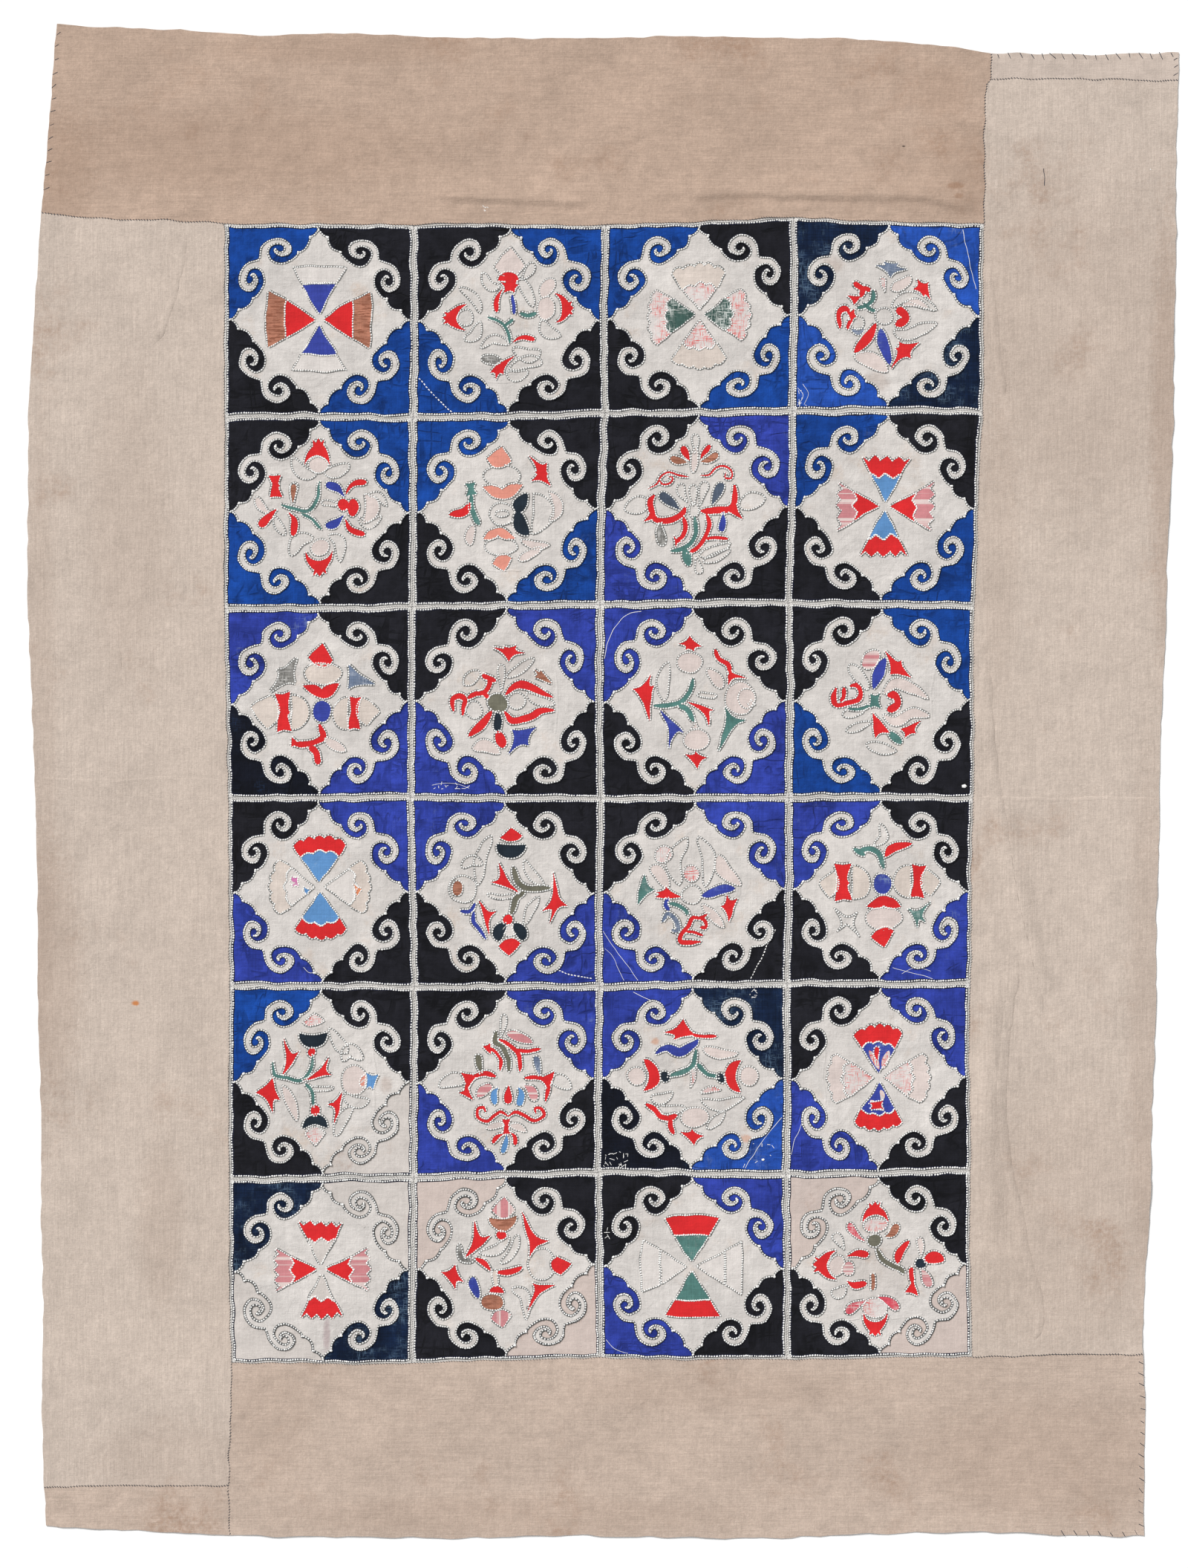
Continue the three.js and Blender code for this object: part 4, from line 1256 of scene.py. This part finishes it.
    "r6c4": """
        disc worn -4 44 12 8; crown red -4 57 25 24 90; disc olive -4 27 6.5
        stroke olive 4.5 -2 18 4 6 14 1 24 -4 28 -9; drop flecked 8 -14 27 -24 34 -32 46
        drop brown 9 7 31 14 35 20 45; drop pale 8 46 8 46 18 46 29; leaf red 8 20 3 22 14 33 26
        disc ink 46 1 6 5; leaf red 12 50 4 60 8 71 5; stroke red 5 36 -3 36 -10 37 -20
        burr red 37 -27 29 -31 44 -35 38 -17; drop rose 10 47 -5 51 -12 55 -24; disc pale -45 1 9 11
        crown red -57 2 30 26 180; disc rose -32 -3 6 7; drop red 8 -34 10 -22 13 -10 11
        drop red 8 -34 -17 -26 -21 -13 -20; drop none 10 -38 18 -42 26 -48 35
        leaf none 12 -36 -22 -44 -28 -52 -26; stroke brown 3.6 -6 -10 -6 -18 -6 -27
        drop flecked 9 -14 -38 -24 -42 -36 -49; drop flecked 9 0 -35 10 -38 21 -47; disc worn -4 -46 13 10
        crown red -4 -62 25 26 -90
    """,
}

# Loose threads, stitches, frays, creases and knots on each block: kind, what they lie on and their numbers
LOOSE = {
    "r1c2": "stitches low 1.2 -95 -60 -80 -76 -60 -95; crease high 3 -23 -64 0 -65 23 -63",
    "r1c4": """
        thread low 0.9 79 95 83 75 93 30; thread low 0.8 -95 -76 -89 -85 -95 -95
        thread low 0.7 -90 -72 -84 -83 -88 -94; frays low 8 -95 -95 -82 -74
    """,
    "r2c2": "crease high 3 -22 -63 -4 -65 18 -63",
    "r3c2": """
        frays low 12 -75 -92 -40 -84; crease high 3 52 34 54 4 51 -34
        thread low 0.7 -78 -88 -58 -85 -38 -89
    """,
    "r3c3": "thread low 1.0 -54 94 -70 90 -85 75 -93 60 -95 44",
    "r3c4": "crease high 3.5 54 60 56 30 53 6 56 -30; knot low 3.2 90 -87",
    "r4c1": "thread high 0.8 -20 -80 -13 -86 -5 -83",
    "r4c2": "stitches low 1.1 55 -82 70 -88 92 -92",
    "r4c3": """
        thread low 0.8 -95 -40 -80 -64 -60 -95; thread low 0.7 -95 -58 -84 -70 -74 -95
        stitches low 1.1 60 -95 74 -70 88 -40
    """,
    "r4c4": """
        thread low 0.8 15 -82 34 -88 60 -95; thread low 0.7 26 -90 40 -84 58 -88
        crease high 2.6 -11 -73 0 -75 12 -73
    """,
    "r5c1": "crease high 3 57 32 59 2 57 -30",
    "r5c3": """
        thread low 0.9 -65 94 -45 84 -30 77; thread low 0.9 55 -95 75 -65 95 -40; knot low 2.4 75 -85
        frays low 22 -95 -95 -68 -80; frays low 7 60 84 72 94; frays low 8 50 -92 90 -60
    """,
    "r5c4": "thread low 0.8 -83 -45 -90 -60 -95 -80; crease high 3 -58 30 -60 0 -57 -32",
    "r6c1": "crease high 3 24 64 34 56 48 46",
    "r6c3": "thread low 0.9 -95 -80 -84 -90 -70 -95; frays low 5 -94 30 -86 40",
    "r6c4": "crease high 2.6 12 -57 32 -56 50 -53; crease high 2.4 -38 -57 -28 -57 -20 -56",
}
THREAD_WIDTH, THREAD_RISE, CREASE_RISE = 0.62, 0.3, 0.55


def read_rows(text):
    """Rows of two words and then numbers, parted by line ends and semicolons."""
    rows = [row.split() for row in text.replace(";", "\n").splitlines() if row.strip()]
    return [(first, second, [float(n) for n in rest]) for first, second, *rest in rows]


def cell_motifs(key):
    """Outlines with their cloth, in parts of a half block."""
    found = wedges(*CROSSES[key]) if key in CROSSES else []
    found += [(cloth, SHAPES[shape](*numbers)) for shape, cloth, numbers in read_rows(MOTIFS.get(key, ""))]
    return [(cloth, outline / 100) for cloth, outline in found]


def strand(line, width, top, rise=THREAD_RISE, step=2.2, lean=0.0, fade=0):
    """A thread or a ridge of cloth along a line in mm; top gives the height of what it lies on.

    A ridge leans by a share of its width, and sinks over its first and last fade points.
    """
    points, way = resample(line, step, False)
    rows = []
    count = len(points)
    from_end = np.minimum(np.arange(count), np.arange(count)[::-1])
    full = ease(np.minimum(1, from_end / fade)) if fade else np.ones(count)
    for reach, up in ((-width / 2, 0), (lean * width, rise), (width / 2, 0)):
        p = points + aside(way) * reach * full[:, None]
        rows.append(np.stack([*warp(*p.T), top(*p.T) + up * full], axis=1))
    faces = [(a, a + 1, a + 1 + count, a + count) for r in (0, count) for a in range(r, r + count - 1)]
    return np.concatenate(rows), faces


def fray(centre, length, turn, top, width=0.6):
    """A short end of thread."""
    half_way = length / 2 * np.array([math.cos(turn), math.sin(turn)])
    return strand([centre - half_way, centre, centre + half_way], width, top, 0.25)


def loose_bits(key, place, rng):
    """The loose threads of one block, and its creases of cloth."""
    threads, ridges = [], []
    for kind, level, (size, *rest) in read_rows(LOOSE.get(key, "")):
        top = over_field if level == "high" else over_ground
        spots = np.array(pairs(rest))
        line = place(curve(spots) / 100) if len(spots) > 1 else place(spots / 100)
        if kind == "thread":
            threads.append(strand(line, THREAD_WIDTH * size, top))
        elif kind == "crease":
            ridges.append(strand(line, size, field_top, CREASE_RISE))
        elif kind == "stitches":
            at, way = resample(line, 4.2, False)
            threads.append(ticks(at, way, top(*at.T), rng, length=size, width=2.4))
        elif kind == "knot":
            threads.append(beads(line, np.array([[1.0, 0.0]]), top(*line.T), rng, size, size * 0.7, 0.9))
        else:
            low, high = spots / 100
            for _ in range(int(size)):
                centre = place(low + (high - low) * rng.random(2))
                threads.append(fray(centre, rng.uniform(3, 9), rng.uniform(0, math.pi), top))
    return threads, ridges


def dense(outline, gap):
    """A closed outline in mm with points no further apart than gap."""
    out = []
    for a, b in zip(outline, np.roll(outline, -1, axis=0)):
        count = max(1, math.ceil(np.hypot(*(b - a)) / gap))
        out += [a + (b - a) * k / count for k in range(count)]
    return np.array(out)


def anticlockwise(outline):
    """The outline, turned round where it runs clockwise."""
    return outline[::-1] if signed_area(outline) < 0 else outline


def corner_of(cloths, u, v):
    return cloths[(0 if v > 0 else 2) + (0 if u < 0 else 1)]


def build_ground(key, place, cloths):
    """The coloured corners and the white edge strip round them, as one sheet."""
    half_side = np.concatenate([[0.0], np.linspace(0.08, 0.9, 11), [EDGE_LINE, 0.978, 1.0]])
    line = np.concatenate([-half_side[:0:-1], half_side])
    u, v = np.meshgrid(line, line)
    flat = place(np.stack([u, v], axis=2))
    x, y = flat[:, :, 0] - HALF_GAP * u, flat[:, :, 1] - HALF_GAP * v
    rim = np.maximum(abs(u), abs(v))
    top = ground_top(x, y) - RIM_FALL * ease((rim - RIM_FROM) / (1 - RIM_FROM)) - 0.1 * (rim > RIM_FROM)
    points, faces = grid_slab(*warp(x, y), np.maximum(top, RIM_LEAST), np.full_like(x, UNDERSIDE))
    middle = (line[:-1] + line[1:]) / 2
    cloth_of = [
        "sash" if max(abs(cu), abs(cv)) > EDGE_LINE else corner_of(cloths, cu, cv)
        for cv in middle for cu in middle
    ]
    cloth_of += ["sash"] * (len(faces) - len(cloth_of))
    parts = [(points, faces, [CLOTHS[cloth] for cloth in cloth_of])]
    return make(f"ground_{key}", parts, f"block_{key}")


def build_edging(key, place, rng):
    """The cord along the edge strip, and its painted shade: a shadow on the coloured side and grey on the
    white side.
    """
    edge = dense(np.array([(-1, -1), (1, -1), (1, 1), (-1, 1)], float) * EDGE_CORD, 0.05)
    points, way = resample(place(edge), BEAD_PITCH, True)
    edging = beads(points, way, ground_top(*points.T) + 0.05, rng)
    shades = [
        # Painted shade of the cord on the white strip, partly the thread between its beads
        (*ribbon(points, way, -1.0, 1.75, over_ground), PAINTED_SHADE_AND_THREAD),
        # Painted shadow of the cord under its beads and on the coloured corners
        (*ribbon(points, way, 1.85, 1.0, over_ground), PAINTED_EDGE_SHADOW),
    ]
    cord = make(f"edging_{key}", [(*edging, WHITE_CORD)], crisp=0)
    return [cord, make(f"edging_painted_shade_{key}", shades, crisp=0)]


def field_cords(outline, place, cloths, rng):
    """The field's cord with its knobs, the thread between its beads, and the painted shade on both sides of
    it.
    """
    points, way = resample(outline, BEAD_PITCH, True)
    cell = (points - place((0.0, 0.0))) / (place((1.0, 1.0)) - place((0.0, 0.0)))
    pale = np.array([corner_of(cloths, u, v) in PALE_CLOTHS for u, v in cell])
    line = points + aside(way) * CORD_INSET
    cords = [beads(line, way, field_top(*line.T) - CORD_SINK, rng, height=1.45)]
    shades = []
    if pale.any():
        shades.append((*dashes(line[pale], way[pale], field_top, 0.3, rng), DARK_THREAD))
    knobs = [np.argmin(np.hypot(*(line - place(knob)).T)) for knob in KNOBS]
    at = line[knobs]
    cords.append(beads(at, way[knobs], field_top(*at.T), rng, along=1.75, across=1.75, height=1.5))
    # Painted shade of the field's beads on the white cloth, partly the thread between them
    shades.append((*ribbon(points, way, 2.5, 0.0, over_field), PAINTED_SHADE_AND_THREAD))
    # Painted shadow of the field's edge on the corners: dark on coloured cloth, grey on pale cloth
    shades.append((*ribbon(points, way, 0.15, 0.8, over_ground, ~pale), PAINTED_EDGE_SHADOW))
    shades.append((*ribbon(points, way, 0.15, 1.0, over_ground, pale), PAINTED_SHADE_AND_THREAD))
    return cords, shades


def sew_motifs(motifs, rng):
    """Patches with their cords, and the painted shade and thread beside them; a cord is left out where it
    lies under another patch.
    """
    patches, cords, shades = [], [], []
    for n, (cloth, outline) in enumerate(motifs):
        if cloth != "none":
            rise = PATCH_RISE + PATCH_STEP * n
            part = slab(
                outline, PATCH_GRID,
                lambda a, b: field_top(a, b) + rise, lambda a, b: field_top(a, b) - PATCH_SINK,
            )
            patches.append((*part, CLOTHS[cloth]))
        white = cloth in WHITE_WORK
        points, way = resample(outline, BEAD_PITCH, True)
        points = points - aside(way) * (0.0 if white else CORD_OUTSET)
        bare = np.ones(len(points), bool)
        for m, (other, other_outline) in enumerate(motifs):
            if m != n and other not in WHITE_WORK and (white or other == cloth):
                bare &= ~within(points, other_outline)
        if bare.any():
            line, line_way = points[bare], way[bare]
            cords.append(beads(line, line_way, field_top(*line.T) + 0.1, rng, along=1.32, across=1.15))
            if white:
                # Dashes of thread between the beads, in the grey of painted shade
                shades.append((*dashes(line, line_way, field_top, 0.45, rng), PAINTED_SHADE_AND_THREAD))
        # Painted shade beside each motif's beads, pale for white work, partly the thread between the beads
        inner, tone = (0.5, PAINTED_PALE_SHADE) if white else (1.0, PAINTED_SHADE_AND_THREAD)
        shades.append((*ribbon(points, way, inner, 1.65, over_field, bare), tone))
    return patches, cords, shades


def build_block(row, column):
    key = f"r{row + 1}c{column + 1}"
    place = placer(row, column)
    rng = np.random.default_rng(100 * row + column)
    cloths = CORNERS[row][column].split()
    if len(cloths) == 2:
        cloths += cloths[::-1]
    ground = build_ground(key, place, cloths)
    trim = build_edging(key, place, rng)

    outline = anticlockwise(dense(place(wobble(FIELD, rng)), FIELD_POINTS))
    along = np.roll(outline, -1, axis=0) - np.roll(outline, 1, axis=0)
    outline = outline + CLOTH_INSET * aside(along / np.hypot(*along.T)[:, None])
    points, faces = slab(outline, FIELD_GRID, field_top, lambda a, b: ground_top(a, b) + FIELD_CLEAR)
    field = make(f"field_cloth_{key}", [(points, faces, CLOTHS["field"])], f"field_{key}")

    cords, shades = field_cords(outline, place, cloths, rng)
    motifs = [(cloth, anticlockwise(dense(place(shape), PATCH_POINTS))) for cloth, shape in cell_motifs(key)]
    patches, more_cords, more_shades = sew_motifs(motifs, rng)
    threads, ridges = loose_bits(key, place, rng)
    patches += [(*r, CLOTHS["field"]) for r in ridges]
    if threads:
        trim.append(make(f"loose_{key}", [(*t, WHITE_CORD) for t in threads], crisp=0))
    patch = [make(f"patches_{key}", patches)] if patches else []
    cord_parts = [(*c, WHITE_CORD) for c in cords + more_cords]
    cord = make(f"cord_{key}", cord_parts, crisp=0)
    shade = make(f"shade_{key}", shades + more_shades, crisp=0)


def signed_area(outline):
    x, y = outline[:, 0], outline[:, 1]
    return 0.5 * float((x * np.roll(y, -1) - np.roll(x, -1) * y).sum())


for row in range(ROWS):
    for column in range(COLUMNS):
        build_block(row, column)

# Seams


def over_border(x, y):
    return border_top(x, y) + 0.05


def over_seam(x, y):
    return ground_top(x, y) - 0.1


def seam(points, pitch, height, rng, length=2.8, slant=0.6, width=0.5):
    """Stitches along a line through points."""
    at, way = resample(points, pitch, False)
    return ticks(at, way, height(*at.T), rng, length=length, slant=slant, width=width)


seam_rng = np.random.default_rng(7)
lines = [CROSS[k] for k in range(1, ROWS)] + [CROSS[:, k] for k in range(1, COLUMNS)]
inner_seams = [seam(line, 3.4, over_seam, seam_rng) for line in lines]
make("sashing_stitches", [(*s, GREY_THREAD) for s in inner_seams], crisp=0)

OUTER_PITCH = 3.6
outer_seams = [seam(line, OUTER_PITCH, over_border, seam_rng) for line in (TOP, FOOT, LEFT_UP, RIGHT_UP)]
panel_seams = [
    [TOP[4], [480.5, 823], [485.5, 881.3], [491, 887.8], [491, 921]],
    [[491, 887.8], [610, 888], [728.5, 887.5]],
    [FOOT[4], [573, -726], [682, -725]],
    [[-710, -892], [-592, -891], [-473, -892]],
    [[-473, -955], [-473, -892], FOOT[0]],
    [[-711, 719], [-633, 710.6], [-555, 708.3], TOP[0]],
]
for line in panel_seams:
    outer_seams.append(seam(line, OUTER_PITCH, over_border, seam_rng, length=2.4, width=0.9))
# Coarse stitches over the edges: the line, their pitch, length and slant
overcast = [
    ([[493, 917.5], [610, 916.5], [727, 917.5]], 13.6, 8, 0.5),
    ([[725, 917], [725, 890]], 9, 7, 0.5),
    ([[-705.5, 741], [-701.5, 791], [-697.5, 850], [-693.5, 905], [-690, 953]], 17, 7, 0.5),
    ([[680.5, -950], [681.5, -788], [679, -728]], 15, 7, -0.5),
    ([[560, -949], [620, -951], [680, -951.5]], 16, 7, 0.5),
]
for line, pitch, length, slant in overcast:
    outer_seams.append(seam(line, pitch, over_border, seam_rng, length=length, width=0.9, slant=slant))
outer_seams.append(strand([[558, 777], [558.6, 764], [558, 751]], 0.9, over_border))
make("border_stitches", [(*s, DARK_THREAD) for s in outer_seams], crisp=0)

# Fold marks and small creases in the border: a line, its width and its rise
MARKS = {
    "border_side": [
        ([[468, -21], [560, -23], [640, -21], [702, -24]], 6, 0.7),
        ([[-717, 2], [-640, 0], [-560, 3], [-478, 1]], 5, 0.45),
        ([[497, 858], [501, 868], [505, 880]], 4, 0.6),
        ([[484, 150], [489, 48], [500, -45], [514, -139], [529, -205], [543, -262], [557, -297]], 17, 2.0),
        (
            [
                [524, -236], [510, -309], [505, -403], [511, -478],
                [526, -553], [537, -610], [552, -666], [545, -716],
            ], 13, 1.5,
        ),
        ([[487, 650], [493, 594], [498, 537], [507, 481]], 11, 1.1),
        ([[-529, 700], [-540, 631], [-555, 584], [-571, 547]], 11, 1.1),
        ([[-618, 208], [-615, 171], [-610, 138]], 7, 0.8),
    ],
    "border_top": [
        ([[348, 796], [380, 780], [414, 763]], 3, 0.35),
        ([[27, 719.5], [40, 722], [52, 726]], 3.5, 0.7),
        ([[-120, 716], [-60, 719], [10, 717]], 4, 0.5),
    ],
}


def under_border(x, y):
    return border_top(x, y) - 0.05


ridges = [
    (*strand(curve(line), width, under_border, rise, lean=0.25, fade=9), CLOTHS[cloth])
    for cloth, rows in MARKS.items() for line, width, rise in rows
]
make("border_creases", ridges, crisp=0)
# Loose fibres round a small worn hole, and one at the right edge
hole = np.array([-149.0, 724.0])
specks = [
    fray(hole + seam_rng.uniform(-3.5, 3.5, 2), 5, seam_rng.uniform(0, 3), over_border) for _ in range(7)
]
specks += [fray(np.array([692.0, 773.0]), 3, 0.4, over_border, 1.2)]
make("border_frays", [(*s, WHITE_CORD) for s in specks], crisp=0)

# Stage
floor_mesh = bpy.data.meshes.new("floor")
reach = 6.0
corners = [(-reach, -reach, 0), (reach, -reach, 0), (reach, reach, 0), (-reach, reach, 0)]
floor_mesh.from_pydata(corners, [], [(0, 1, 2, 3)])
floor = bpy.data.objects.new("floor", floor_mesh)
floor.location.z = -0.0005
bpy.context.collection.objects.link(floor)
plain = bpy.data.materials.new("floor_plain")
plain.use_nodes = True
shader = plain.node_tree.nodes["Principled BSDF"]
shader.inputs["Base Color"].default_value = (0.95, 0.95, 0.95, 1)
shader.inputs["Roughness"].default_value = 0.9
shader.inputs["Specular IOR Level"].default_value = 0.0
floor_mesh.materials.append(plain)

world = bpy.data.worlds.new("studio")
bpy.context.scene.world = world
world.use_nodes = True
sky = world.node_tree.nodes["Background"]
sky.inputs["Color"].default_value = (1, 1, 1, 1)
sky.inputs["Strength"].default_value = 0.5
# One broad, low sun, as strong on a level face as its share says, whatever its tilt
lamp = bpy.data.lights.new("key", "SUN")
lamp.angle = math.radians(18)
tilt = math.radians(48)
sun_share = 0.62
lamp.energy = sun_share * math.pi / math.cos(tilt)
key_light = bpy.data.objects.new("key", lamp)
toward = Vector((-0.75, 1.0, 0)).normalized() * math.sin(tilt) + Vector((0, 0, math.cos(tilt)))
key_light.rotation_euler = toward.to_track_quat("Z", "Y").to_euler()
bpy.context.collection.objects.link(key_light)

# Camera: straight above, the picture's height taking in 1984 mm
view_height, distance = 1.984, 6.0
camera_data = bpy.data.cameras.new("camera")
camera_data.sensor_width = 36
camera_data.lens = 36 * distance / view_height
camera = bpy.data.objects.new("camera", camera_data)
centre_x, centre_y = -0.01175, -0.00376
camera.location = (centre_x, centre_y, distance)
bpy.context.collection.objects.link(camera)
bpy.context.scene.camera = camera
bpy.context.scene.view_settings.view_transform = "Standard"
